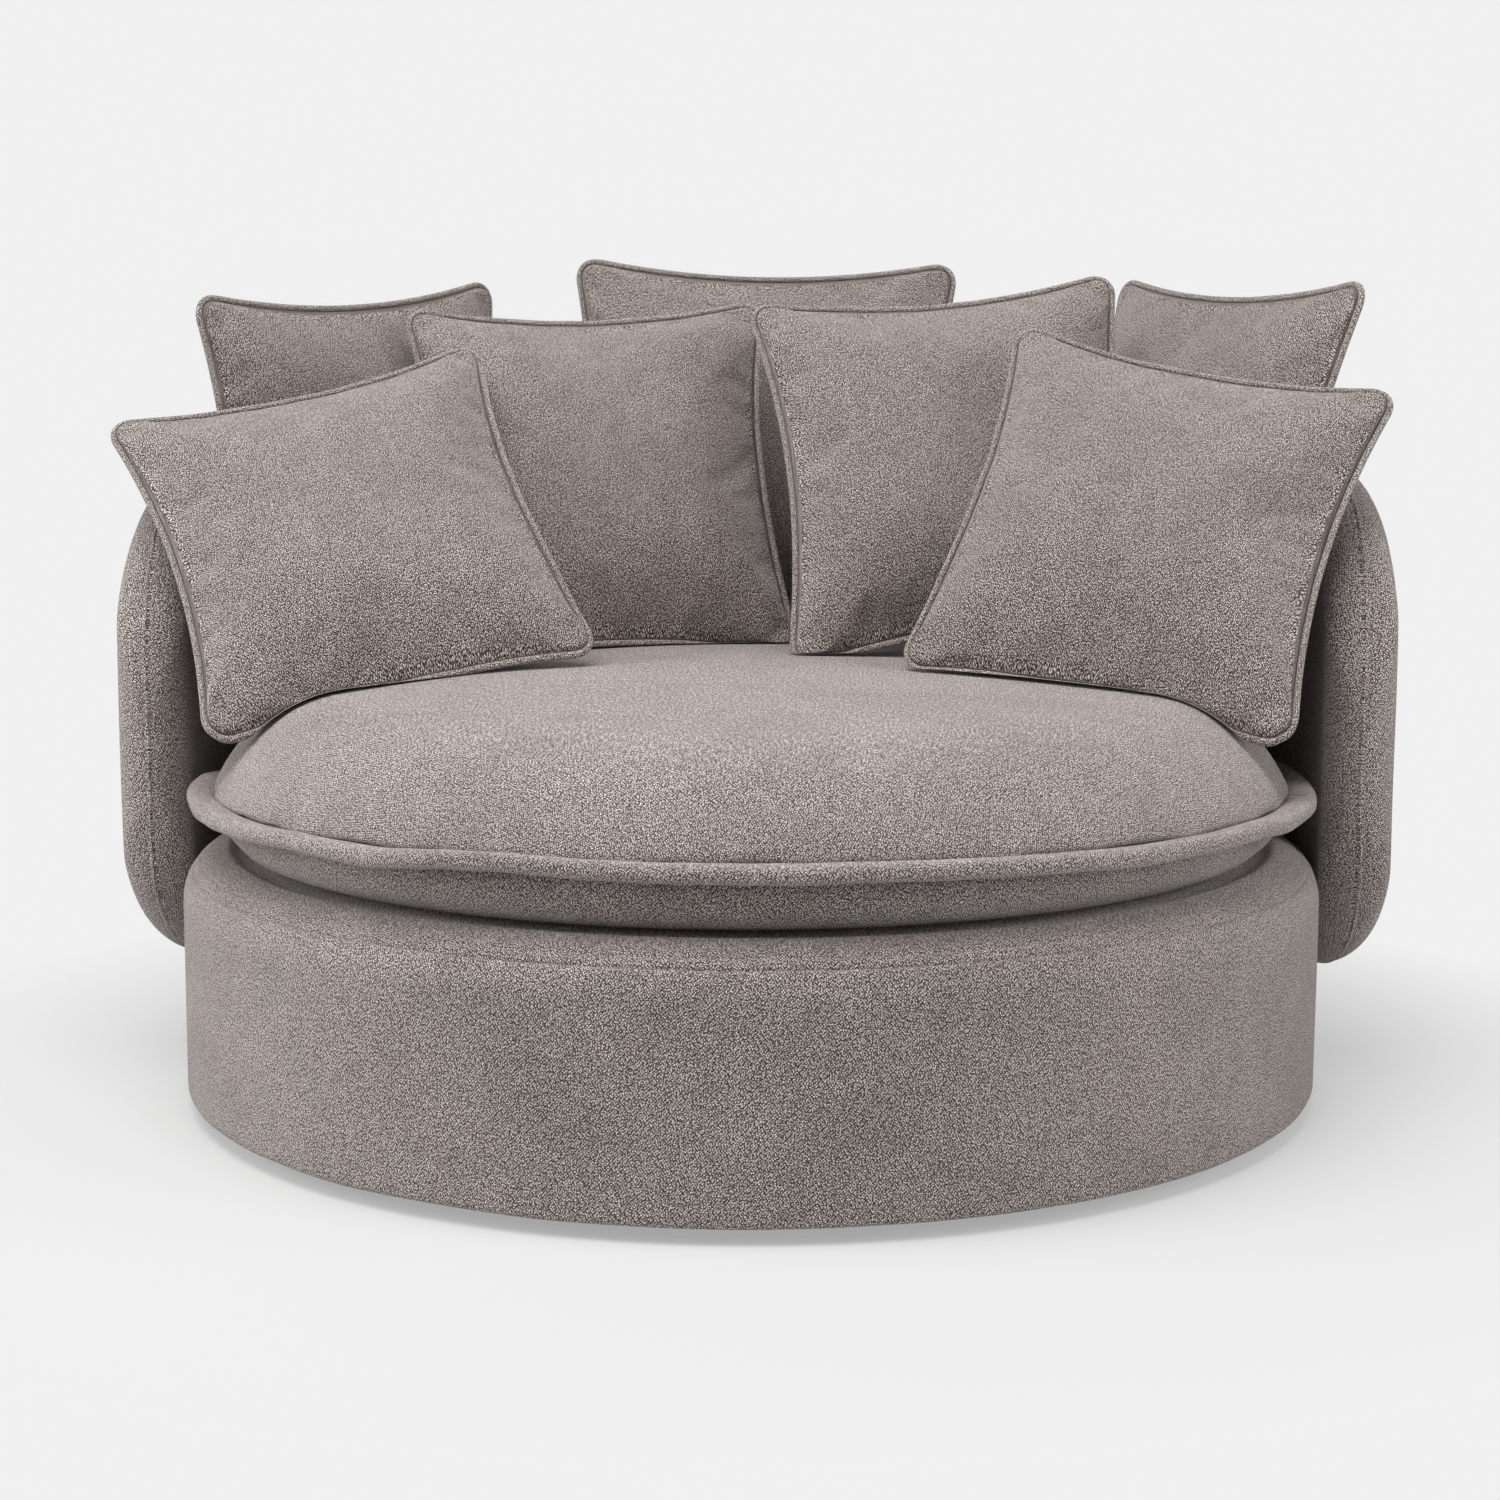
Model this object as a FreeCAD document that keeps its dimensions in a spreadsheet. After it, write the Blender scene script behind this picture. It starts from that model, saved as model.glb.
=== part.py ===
# Round upholstered swivel chair: a drum base, a round seat cushion with a rolled
# welt, a back that wraps round the outside of the drum, and seven loose scatter
# cushions. Millimetres. The origin is on the swivel axis at the floor, +Z is up
# and the chair faces -Y.
import FreeCAD, Part
import math
import os
import re

import Sketcher
from FreeCAD import Placement, Rotation, Vector

# Driving sizes: alias, value, what it measures.
SIZES = [
    ("glide_height", 8.0, "height of the glides under the plinth"),
    ("glide_radius", 20.0, "radius of one glide"),
    ("glide_circle", 395.0, "radius of the circle the glides stand on"),
    ("glide_count", 8, "glides round the rim of the plinth"),
    ("plinth_radius", 430.0, "radius of the plinth board"),
    ("plinth_thickness", 22.0, "plinth board"),
    ("plate_radius", 150.0, "swivel plates"),
    ("plate_thickness", 4.0, "swivel plates"),
    ("plate_gap", 6.0, "space between the swivel plates"),
    ("ball_radius", 5.0, "bearing ball"),
    ("ball_circle", 130.0, "radius of the ball race"),
    ("ball_count", 24, "bearing balls"),
    ("cage_width", 16.0, "radial width of the ball cage"),
    ("cage_thickness", 3.0, "ball cage"),
    ("running_clearance", 0.05, "radial clearance of turning fits"),
    ("fit_clearance", 0.3, "clearance between fixed or resting pieces"),
    ("pivot_radius", 6.0, "pivot bolt shank"),
    ("pivot_head_radius", 11.0, "pivot bolt head"),
    ("pivot_head_height", 7.0, "pivot bolt head"),
    ("pivot_end", 2.0, "thread that stands above the nut"),
    ("bush_wall", 3.0, "wall of the nylon pivot bush"),
    ("bush_flange", 1.5, "flange of the bush above the upper plate"),
    ("washer_radius", 14.0, "pivot washer and bush flange"),
    ("washer_thickness", 2.0, "pivot washer"),
    ("nut_radius", 11.0, "pivot nut across its corners, half"),
    ("nut_height", 10.0, "pivot nut"),
    ("screw_radius", 2.5, "plate screws"),
    ("screw_head_radius", 5.0, "plate screws"),
    ("screw_head_height", 2.4, "plate screws"),
    ("screw_grip", 13.0, "plate screw length in the wood"),
    ("screw_count", 6, "screws in each swivel plate"),
    ("lower_screw_circle", 92.0, "screw circle of the lower plate"),
    ("upper_screw_circle", 108.0, "screw circle of the upper plate"),
    ("access_radius", 40.0, "hole over the pivot nut in the bottom board"),
    ("drum_radius", 610.0, "outside of the drum cover"),
    ("skirt_height", 15.0, "lower edge of the drum cover above the floor"),
    ("deck_height", 272.0, "top of the drum"),
    ("shoulder_radius", 55.0, "rounding of the drum's upper edge"),
    ("seam_rise", 33.0, "shoulder seam above the start of the rounding"),
    ("cover_thickness", 3.0, "upholstery fabric with its backing"),
    ("wrap_thickness", 13.0, "foam wrap of the drum"),
    ("shell_thickness", 6.0, "bent plywood drum shell"),
    ("board_thickness", 18.0, "bottom board and seat ring"),
    ("ring_width", 115.0, "radial width of the seat ring"),
    ("upright_width", 60.0, "uprights of the drum frame"),
    ("upright_depth", 50.0, "uprights of the drum frame"),
    ("upright_count", 8, "uprights of the drum frame"),
    ("strap_width", 60.0, "seat webbing"),
    ("strap_pitch", 95.0, "spacing of the webbing straps"),
    ("strap_thickness", 2.0, "seat webbing"),
    ("strap_lap", 60.0, "webbing stapled down on the seat ring"),
    ("pad_thickness", 24.0, "deck pad over the webbing"),
    ("dust_thickness", 1.0, "dust cloth under the bottom board"),
    ("dust_hole_radius", 165.0, "hole in the dust cloth round the swivel"),
    ("back_gap", 3.0, "between the drum and the inside of the back"),
    ("back_thickness", 78.0, "upholstered back"),
    ("back_top", 680.0, "upper edge of the back"),
    ("back_bottom", 100.0, "lower edge of the back"),
    ("wing_top_radius", 270.0, "upper corner of the back's front ends"),
    ("wing_bottom_radius", 217.0, "lower corner of the back's front ends"),
    ("wing_reach", 50.0, "arc the ends run in front of the widest point"),
    ("panel_thickness", 12.0, "moulded plywood panel in the back"),
    ("back_seam", 4.0, "seam of the back cover outside its middle"),
    ("bolt_radius", 4.0, "bolts that hold the back"),
    ("bolt_head_radius", 10.0, "bolts that hold the back"),
    ("bolt_head_height", 5.0, "bolts that hold the back"),
    ("spacer_radius", 14.0, "spacers round the back bolts"),
    ("bolt_low", 150.0, "lower row of back bolts above the floor"),
    ("bolt_high", 200.0, "upper row of back bolts above the floor"),
    ("bolt_first", 15.0, "angle of the first back bolt, degrees"),
    ("bolt_columns", 6, "columns of back bolts"),
    ("seat_height", 462.0, "crown of the seat cushion"),
    ("seat_seam_radius", 577.0, "seat cushion inside its welt"),
    ("crown_radius", 440.0, "where the crown turns down to the edge"),
    ("crown_drop", 20.0, "fall of the crown out to that radius"),
    ("welt_height", 335.0, "middle of the welt above the floor"),
    ("welt_half", 11.0, "half the height of the welt"),
    ("welt_reach", 23.0, "how far the welt stands out"),
    ("lower_edge_radius", 30.0, "rounding of the seat cushion's lower edge"),
    ("zip_height", 8.0, "zip in the rear of the seat cushion"),
    ("zip_drop", 28.0, "top of the zip below the middle of the welt"),
    ("zip_angle", 60.0, "angle that the zip spans, degrees"),
    ("large_side", 474.0, "large scatter cushion, corner to corner"),
    ("small_side", 428.0, "small scatter cushion, corner to corner"),
    ("large_loft", 100.0, "thickness of a large scatter cushion"),
    ("small_loft", 104.0, "thickness of a small scatter cushion"),
    ("side_draw", 24.0, "how far the cushion sides draw in"),
    ("corner_radius", 24.0, "corners of the scatter cushions"),
    ("piping_radius", 5.0, "piping of the scatter cushions"),
    ("case_thickness", 2.0, "scatter cushion cover"),
]

doc = FreeCAD.newDocument("swivel_chair")
sheet = doc.addObject("Spreadsheet::Sheet", "Sizes")
for row, (alias, number, note) in enumerate(SIZES, start=1):
    sheet.set(f"A{row}", note)
    sheet.set(f"B{row}", str(number))
    sheet.setAlias(f"B{row}", alias)
doc.recompute()

# Levels and radii that several pieces share, as expressions of the sheet.
PLINTH_TOP = "(glide_height + plinth_thickness)"
LOWER_TOP = f"({PLINTH_TOP} + plate_thickness)"
RACE_LEVEL = f"({LOWER_TOP} + plate_gap / 2)"
UPPER_BOTTOM = f"({LOWER_TOP} + plate_gap)"
UPPER_TOP = f"({UPPER_BOTTOM} + plate_thickness)"
BOARD_TOP = f"({UPPER_TOP} + board_thickness)"
BUSH_BORE = "(pivot_radius + running_clearance)"
BUSH_RADIUS = f"({BUSH_BORE} + bush_wall)"
BUSH_TOP = f"({UPPER_TOP} + bush_flange)"
WASHER_BOTTOM = f"({BUSH_TOP} + running_clearance)"
NUT_BOTTOM = f"({WASHER_BOTTOM} + washer_thickness)"
HEAD_BOTTOM = "(glide_height + fit_clearance)"
HEAD_TOP = f"({HEAD_BOTTOM} + pivot_head_height)"
HEAD_BORE = "(pivot_head_radius + fit_clearance)"
PIVOT_BORE = "(pivot_radius + fit_clearance)"
BALL_BORE = "(ball_radius + running_clearance)"
WRAP_RADIUS = "(drum_radius - cover_thickness)"
SHELL_RADIUS = f"({WRAP_RADIUS} - wrap_thickness)"
SHELL_INSIDE = f"({SHELL_RADIUS} - shell_thickness)"
HEM_TOP = "(skirt_height + cover_thickness)"
PAD_TOP = "(deck_height - cover_thickness)"
PAD_BOTTOM = f"({PAD_TOP} - pad_thickness)"
RING_TOP = f"({PAD_BOTTOM} - 2 * strap_thickness)"
RING_BOTTOM = f"({RING_TOP} - board_thickness)"
RING_INSIDE = f"({SHELL_INSIDE} - ring_width)"
DECK_RADIUS = "(drum_radius - shoulder_radius)"
SHOULDER_START = "(deck_height - shoulder_radius)"
SHOULDER_INSIDE = "(shoulder_radius - cover_thickness)"
SEAM_SINE = "(seam_rise / shoulder_radius)"
SEAM_COSINE = f"sqrt(1 - {SEAM_SINE} ^ 2)"
SEAM_OUT = (f"({DECK_RADIUS} + shoulder_radius * {SEAM_COSINE})", f"({SHOULDER_START} + seam_rise)")
SEAM_IN = (f"({DECK_RADIUS} + {SHOULDER_INSIDE} * {SEAM_COSINE})",
           f"({SHOULDER_START} + {SHOULDER_INSIDE} * {SEAM_SINE})")
BACK_INSIDE = "(drum_radius + back_gap)"
BACK_MIDDLE = f"({BACK_INSIDE} + back_thickness / 2)"
PANEL_INSIDE = f"({BACK_MIDDLE} - panel_thickness / 2)"
SEAT_BOTTOM = "(deck_height + fit_clearance)"
FOAM_RADIUS = "(seat_seam_radius - cover_thickness)"
WELT_TOP = "(welt_height + welt_half)"

FULL_TURN = 360.0
QUARTER_TURN = 90.0
NOTHING = "0"


def bound(text):
    """Expression in which each size is looked up in the sheet."""
    return re.sub(r"\b([a-z]+(?:_[a-z]+)+)\b", r"Sizes.\1", text)


def size(text):
    """Number that an expression of the sheet gives."""
    return float(sheet.evalExpression(bound(text)))


nodes = {}


def node(name, obj):
    """Name a finished piece of the chair."""
    obj.Label = name
    nodes[name] = obj
    return obj


def feature(name, shape, placement=None):
    """Piece whose shape is made by the geometry functions below."""
    obj = doc.addObject("Part::Feature", name)
    obj.Shape = shape
    if placement is not None:
        obj.Placement = placement
    return obj


def bind(obj, properties):
    """Tie properties of an object to expressions of the sheet."""
    for name, text in properties.items():
        obj.setExpression(name, bound(text))
    return obj


def sketch_on(body, plane):
    """New sketch on one of the body's origin planes."""
    sketch = body.newObject("Sketcher::SketchObject", f"{body.Name}_sketch")
    support = next(item for item in body.Origin.OriginFeatures if item.Role == plane)
    sketch.AttachmentSupport = [(support, "")]
    sketch.MapMode = "FlatFace"
    return sketch


def measure(sketch, rule, text):
    """Add a dimension that the sheet drives."""
    index = sketch.addConstraint(rule)
    sketch.setExpression(f"Constraints[{index}]", bound(text))


def pin(sketch, geometry, end, place):
    """Tie one end of a line or arc to a place given by two expressions."""
    for kind, axis, text in (("DistanceX", -2, place[0]), ("DistanceY", -1, place[1])):
        if text == NOTHING:
            sketch.addConstraint(Sketcher.Constraint("PointOnObject", geometry, end, axis))
        else:
            measure(sketch, Sketcher.Constraint(kind, -1, 1, geometry, end, size(text)), text)


def arc_between(start, end, radius):
    """Arc from start to end that bulges to the right of the way there, or to the
    left with a negative radius."""
    chord = end - start
    sagitta = abs(radius) - math.sqrt(radius ** 2 - (chord.Length / 2) ** 2)
    side = Vector(chord.y, -chord.x, 0).normalize() * math.copysign(sagitta, radius)
    return Part.Arc(start, (start + end) / 2 + side, end)


def outline(sketch, corners):
    """Closed outline, anticlockwise, through corners (x, y) or (x, y, radius of
    the arc to the next corner), all given as expressions."""
    points = [Vector(size(corner[0]), size(corner[1]), 0) for corner in corners]
    ends = []
    for index, corner in enumerate(corners):
        start = points[index]
        end = points[(index + 1) % len(points)]
        if len(corner) == 3:
            sketch.addGeometry(arc_between(start, end, size(corner[2])))
            ends.append((1, 2) if size(corner[2]) > 0 else (2, 1))
        else:
            sketch.addGeometry(Part.LineSegment(start, end))
            ends.append((1, 2))
    for index, corner in enumerate(corners):
        after = (index + 1) % len(corners)
        joint = Sketcher.Constraint("Coincident", index, ends[index][1], after, ends[after][0])
        sketch.addConstraint(joint)
        pin(sketch, index, ends[index][0], corner)
        if len(corner) == 3:
            rule = Sketcher.Constraint("Radius", index, abs(size(corner[2])))
            measure(sketch, rule, f"abs({corner[2]})")


def turned(name, corners, angle=FULL_TURN):
    """Body turned about the vertical axis from an outline of (radius, level)."""
    body = doc.addObject("PartDesign::Body", name)
    sketch = sketch_on(body, "XZ_Plane")
    outline(sketch, corners)
    turn = body.newObject("PartDesign::Revolution", f"{name}_turn")
    turn.Profile = sketch
    turn.ReferenceAxis = (sketch, ["V_Axis"])
    turn.Angle = angle
    return body


def disc(name, inner, outer, bottom, top):
    """Flat ring or disc between two radii and two levels."""
    return turned(name, [(inner, bottom), (outer, bottom), (outer, top), (inner, top)])


def drill(body, radius, circle, number):
    """Ring of holes straight through a turned body."""
    sketch = sketch_on(body, "XY_Plane")
    sketch.addGeometry(Part.Circle(Vector(size(circle), 0, 0), Vector(0, 0, 1), size(radius)))
    sketch.addConstraint(Sketcher.Constraint("PointOnObject", 0, 3, -1))
    measure(sketch, Sketcher.Constraint("DistanceX", -1, 1, 0, 3, size(circle)), circle)
    measure(sketch, Sketcher.Constraint("Radius", 0, size(radius)), radius)
    pocket = body.newObject("PartDesign::Pocket", f"{body.Name}_hole")
    pocket.Profile = sketch
    pocket.Type = "ThroughAll"
    pocket.Midplane = True
    ring = body.newObject("PartDesign::PolarPattern", f"{body.Name}_holes")
    ring.Originals = [pocket]
    ring.Axis = (sketch, ["N_Axis"])
    ring.Angle = FULL_TURN
    ring.setExpression("Occurrences", bound(number))
    body.Tip = ring
    return body


def groove(body, radius, centre):
    """Round groove turned into a body at a centre (radius, level)."""
    sketch = sketch_on(body, "XZ_Plane")
    place = Vector(size(centre[0]), size(centre[1]), 0)
    sketch.addGeometry(Part.Circle(place, Vector(0, 0, 1), size(radius)))
    pin(sketch, 0, 3, centre)
    measure(sketch, Sketcher.Constraint("Radius", 0, size(radius)), radius)
    cut = body.newObject("PartDesign::Groove", f"{body.Name}_race")
    cut.Profile = sketch
    cut.ReferenceAxis = (sketch, ["V_Axis"])
    cut.Angle = FULL_TURN
    return body


def ring_places(circle, number, first=0.0, level=0.0):
    """Places spread evenly round the axis, each turned to face outwards."""
    total = int(size(number))
    places = []
    for index in range(total):
        turn = Rotation(Vector(0, 0, 1), first + FULL_TURN * index / total)
        places.append(Placement(turn.multVec(Vector(size(circle), 0, level)), turn))
    return places


def copies(name, master, places):
    """Identical separate pieces in one node."""
    doc.recompute()
    shapes = []
    for place in places:
        shape = master.Shape.copy()
        shape.Placement = place.multiply(shape.Placement)
        shapes.append(shape)
    return feature(name, Part.Compound(shapes))


def combined(kind, name, base, tool):
    """Part::Cut or Part::Common of two objects."""
    obj = doc.addObject(kind, name)
    obj.Base = base
    obj.Tool = tool
    return obj


def fastener(name, head_radius, head_height, shank_radius, shank_length):
    """Headed fastener that points down from the underside of its head at the
    origin."""
    return turned(name, [
        (NOTHING, f"-({shank_length})"),
        (shank_radius, f"-({shank_length})"),
        (shank_radius, NOTHING),
        (head_radius, NOTHING),
        (head_radius, head_height),
        (NOTHING, head_height),
    ])


# Plinth that stays on the floor
plinth = turned("plinth_board", [
    (PIVOT_BORE, HEAD_TOP),
    (HEAD_BORE, HEAD_TOP),
    (HEAD_BORE, "glide_height"),
    ("plinth_radius", "glide_height"),
    ("plinth_radius", PLINTH_TOP),
    (PIVOT_BORE, PLINTH_TOP),
])
node("plinth_board", drill(plinth, "screw_radius", "lower_screw_circle", "screw_count"))
node("centre_glide", disc("centre_glide", NOTHING, "glide_radius", NOTHING, "glide_height"))
rim_glide = disc("rim_glide", NOTHING, "glide_radius", NOTHING, "glide_height")
node("rim_glides", copies("rim_glides", rim_glide, ring_places("glide_circle", "glide_count")))

# Ball bearing swivel
lower_plate = disc("swivel_lower_plate", PIVOT_BORE, "plate_radius", PLINTH_TOP, LOWER_TOP)
groove(lower_plate, BALL_BORE, ("ball_circle", RACE_LEVEL))
node("swivel_lower_plate", drill(lower_plate, "screw_radius", "lower_screw_circle", "screw_count"))
upper_plate = disc("swivel_upper_plate", BUSH_RADIUS, "plate_radius", UPPER_BOTTOM, UPPER_TOP)
groove(upper_plate, BALL_BORE, ("ball_circle", RACE_LEVEL))
node("swivel_upper_plate", drill(upper_plate, "screw_radius", "upper_screw_circle", "screw_count"))
cage = disc("ball_cage", "(ball_circle - cage_width / 2)", "(ball_circle + cage_width / 2)",
            f"({RACE_LEVEL} - cage_thickness / 2)", f"({RACE_LEVEL} + cage_thickness / 2)")
node("ball_cage", drill(cage, BALL_BORE, "ball_circle", "ball_count"))
ball = bind(doc.addObject("Part::Sphere", "ball"), {"Radius": "ball_radius"})
balls = ring_places("ball_circle", "ball_count", level=size(RACE_LEVEL))
node("bearing_balls", copies("bearing_balls", ball, balls))
node("pivot_bolt", turned("pivot_bolt", [
    (NOTHING, HEAD_BOTTOM),
    ("pivot_head_radius", HEAD_BOTTOM),
    ("pivot_head_radius", HEAD_TOP),
    ("pivot_radius", HEAD_TOP),
    ("pivot_radius", f"({NUT_BOTTOM} + nut_height + pivot_end)"),
    (NOTHING, f"({NUT_BOTTOM} + nut_height + pivot_end)"),
]))
node("pivot_bush", turned("pivot_bush", [
    (BUSH_BORE, UPPER_BOTTOM),
    (BUSH_RADIUS, UPPER_BOTTOM),
    (BUSH_RADIUS, UPPER_TOP),
    ("washer_radius", UPPER_TOP),
    ("washer_radius", BUSH_TOP),
    (BUSH_BORE, BUSH_TOP),
]))
node("pivot_washer", disc("pivot_washer", PIVOT_BORE, "washer_radius", WASHER_BOTTOM, NUT_BOTTOM))
nut_blank = bind(doc.addObject("Part::Prism", "nut_blank"), {
    "Circumradius": "nut_radius", "Height": "nut_height", "Placement.Base.z": NUT_BOTTOM})
nut_bore = bind(doc.addObject("Part::Cylinder", "nut_bore"), {
    "Radius": "pivot_radius", "Height": "nut_height", "Placement.Base.z": NUT_BOTTOM})
node("pivot_nut", combined("Part::Cut", "pivot_nut", nut_blank, nut_bore))
plate_screw = fastener("plate_screw", "screw_head_radius", "screw_head_height", "screw_radius",
                       "plate_thickness + screw_grip")
lower_screws = ring_places("lower_screw_circle", "screw_count", level=size(LOWER_TOP))
node("lower_plate_screws", copies("lower_plate_screws", plate_screw, lower_screws))
upside_down = Placement(Vector(), Rotation(Vector(1, 0, 0), 2 * QUARTER_TURN))
upper_screws = [place.multiply(upside_down) for place in
                ring_places("upper_screw_circle", "screw_count", level=size(UPPER_BOTTOM))]
node("upper_plate_screws", copies("upper_plate_screws", plate_screw, upper_screws))

# Drum frame
board = disc("bottom_board", "access_radius", SHELL_INSIDE, UPPER_TOP, BOARD_TOP)
node("bottom_board", drill(board, "screw_radius", "upper_screw_circle", "screw_count"))
node("dust_cloth", disc("dust_cloth", "dust_hole_radius", SHELL_INSIDE,
                        f"({UPPER_TOP} - dust_thickness)", UPPER_TOP))
upright = bind(doc.addObject("Part::Box", "upright"), {
    "Length": "upright_depth",
    "Width": "upright_width",
    "Height": f"{RING_BOTTOM} - {BOARD_TOP}",
    "Placement.Base.x": "-upright_depth",
    "Placement.Base.y": "-upright_width / 2",
    "Placement.Base.z": BOARD_TOP,
})
UPRIGHT_FACE = f"(sqrt({SHELL_INSIDE} ^ 2 - (upright_width / 2) ^ 2) - fit_clearance)"
half_step = FULL_TURN / size("upright_count") / 2
uprights = ring_places(UPRIGHT_FACE, "upright_count", first=half_step)
node("drum_uprights", copies("drum_uprights", upright, uprights))
node("seat_ring", disc("seat_ring", RING_INSIDE, SHELL_INSIDE, RING_BOTTOM, RING_TOP))


def webbing(name, level, turn):
    """Straps side by side across the seat ring, cut to its width."""
    reach = f"({RING_INSIDE} + strap_lap)"
    number = int((size(reach) - size("strap_width") / 2) / size("strap_pitch"))
    straps = []
    for index in range(-number, number + 1):
        edge = f"({abs(index)} * strap_pitch + strap_width / 2)"
        half = f"sqrt({reach} ^ 2 - {edge} ^ 2)"
        strap = bind(doc.addObject("Part::Box", f"{name}_strap"), {
            "Length": "strap_width",
            "Width": f"2 * {half}",
            "Height": "strap_thickness",
            "Placement.Base.x": f"{index} * strap_pitch - strap_width / 2",
            "Placement.Base.y": f"-{half}",
            "Placement.Base.z": level,
        })
        straps.append(strap)
    doc.recompute()
    group = feature(name, Part.Compound([strap.Shape for strap in straps]))
    group.Placement = Placement(Vector(), Rotation(Vector(0, 0, 1), turn))
    return group


node("webbing_lengthwise", webbing("webbing_lengthwise", RING_TOP, 0.0))
node("webbing_crosswise",
     webbing("webbing_crosswise", f"({RING_TOP} + strap_thickness)", QUARTER_TURN))
node("deck_pad", disc("deck_pad", NOTHING, DECK_RADIUS, PAD_BOTTOM, PAD_TOP))

# Bolts and spacers that carry the back
PANEL_OUTSIDE = f"({PANEL_INSIDE} + panel_thickness)"
BOLT_SEAT = f"(sqrt({SHELL_INSIDE} ^ 2 - bolt_head_radius ^ 2) - running_clearance)"
bolt = fastener("back_bolt", "bolt_head_radius", "bolt_head_height", "bolt_radius",
                f"{PANEL_OUTSIDE} - {BOLT_SEAT} - fit_clearance")
SPACER_LENGTH = f"({PANEL_INSIDE} - {SHELL_RADIUS} - fit_clearance)"
spacer = disc("back_spacer", "(bolt_radius + fit_clearance)", "spacer_radius",
              f"-{SPACER_LENGTH}", NOTHING)
HOLE_START = f"({SHELL_INSIDE} - shell_thickness)"
HOLE_LENGTH = f"({PANEL_OUTSIDE} + shell_thickness - {HOLE_START})"
bolt_hole = bind(doc.addObject("Part::Cylinder", "bolt_hole"), {
    "Radius": "bolt_radius + fit_clearance",
    "Height": HOLE_LENGTH,
    "Placement.Base.z": f"-{HOLE_LENGTH}",
})
spacer_hole = bind(doc.addObject("Part::Cylinder", "spacer_hole"), {
    "Radius": "spacer_radius + fit_clearance",
    "Height": HOLE_LENGTH,
    "Placement.Base.z": f"-{HOLE_LENGTH}",
})
outwards = Rotation(Vector(0, 1, 0), -QUARTER_TURN)


def bolt_places(radius):
    """Two rows of places along the back that point outwards from a radius."""
    columns = int(size("bolt_columns"))
    first = size("bolt_first")
    step = (2 * QUARTER_TURN - 2 * first) / (columns - 1)
    places = []
    for row_level in (size("bolt_low"), size("bolt_high")):
        for column in range(columns):
            turn = Rotation(Vector(0, 0, 1), first + step * column)
            base = turn.multVec(Vector(size(radius), 0, row_level))
            places.append(Placement(base, turn.multiply(outwards)))
    return places


node("back_bolts", copies("back_bolts", bolt, bolt_places(BOLT_SEAT)))
node("back_spacers", copies("back_spacers", spacer, bolt_places(SHELL_RADIUS)))
bolt_holes = copies("bolt_holes", bolt_hole, bolt_places(HOLE_START))
spacer_holes = copies("spacer_holes", spacer_hole, bolt_places(HOLE_START))

# Drum shell, padding and covers
shell_blank = disc("shell_blank", SHELL_INSIDE, SHELL_RADIUS, HEM_TOP, RING_TOP)
node("drum_shell", combined("Part::Cut", "drum_shell", shell_blank, bolt_holes))
wrap_blank = turned("wrap_blank", [
    (SHELL_RADIUS, HEM_TOP),
    (WRAP_RADIUS, HEM_TOP),
    (WRAP_RADIUS, SHOULDER_START, SHOULDER_INSIDE),
    (DECK_RADIUS, PAD_TOP),
    (DECK_RADIUS, PAD_BOTTOM),
    (SHELL_RADIUS, PAD_BOTTOM),
])
node("drum_wrap", combined("Part::Cut", "drum_wrap", wrap_blank, spacer_holes))
side_blank = turned("side_blank", [
    (SHELL_INSIDE, "skirt_height"),
    ("drum_radius", "skirt_height"),
    ("drum_radius", SHOULDER_START, "shoulder_radius"),
    SEAM_OUT,
    SEAM_IN + (f"-{SHOULDER_INSIDE}",),
    (WRAP_RADIUS, SHOULDER_START),
    (WRAP_RADIUS, HEM_TOP),
    (SHELL_INSIDE, HEM_TOP),
])
node("drum_side_cover", combined("Part::Cut", "drum_side_cover", side_blank, spacer_holes))
node("deck_cover", turned("deck_cover", [
    (NOTHING, PAD_TOP),
    (DECK_RADIUS, PAD_TOP, f"-{SHOULDER_INSIDE}"),
    SEAM_IN,
    SEAM_OUT + ("shoulder_radius",),
    (DECK_RADIUS, "deck_height"),
    (NOTHING, "deck_height"),
]))


# Back
def wing_levels(arc, inset):
    """Lower and upper edge of the back at an arc length from the tip of a wing,
    drawn in by the inset."""
    levels = []
    for corner, edge, side in (("wing_bottom_radius", "back_bottom", -1),
                               ("wing_top_radius", "back_top", 1)):
        radius = size(corner)
        fall = max(radius - arc, 0.0)
        rise = math.sqrt(max((radius - inset) ** 2 - fall ** 2, 0.0))
        levels.append(size(edge) + side * (rise - radius))
    return levels


def back_section(arc, inset):
    """Upright rounded section of the back at an arc length from a wing's tip."""
    half = size("back_thickness") / 2 - inset
    lead = arc - inset
    if lead < half:
        half = math.sqrt(half ** 2 - (half - lead) ** 2)
    low, high = wing_levels(arc, inset)
    middle = size(BACK_MIDDLE)
    slant = half * math.sqrt(0.5)
    inner, outer = middle - half, middle + half
    points = [
        (inner, low + half), (inner, high - half),
        (middle - slant, high - half + slant), (middle, high),
        (middle + slant, high - half + slant), (outer, high - half),
        (outer, low + half),
        (middle + slant, low + half - slant), (middle, low),
        (middle - slant, low + half - slant), (inner, low + half),
    ]
    points = [Vector(radius, 0, level) for radius, level in points]
    edges = [Part.LineSegment(points[0], points[1]).toShape()]
    for first in (1, 3):
        edges.append(Part.Arc(*points[first:first + 3]).toShape())
    edges.append(Part.LineSegment(points[5], points[6]).toShape())
    for first in (6, 8):
        edges.append(Part.Arc(*points[first:first + 3]).toShape())
    return Part.Wire(edges)


WING_STEPS = 8
WING_FIRST_ANGLE = 12.0
BACK_STEPS = 14


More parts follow.
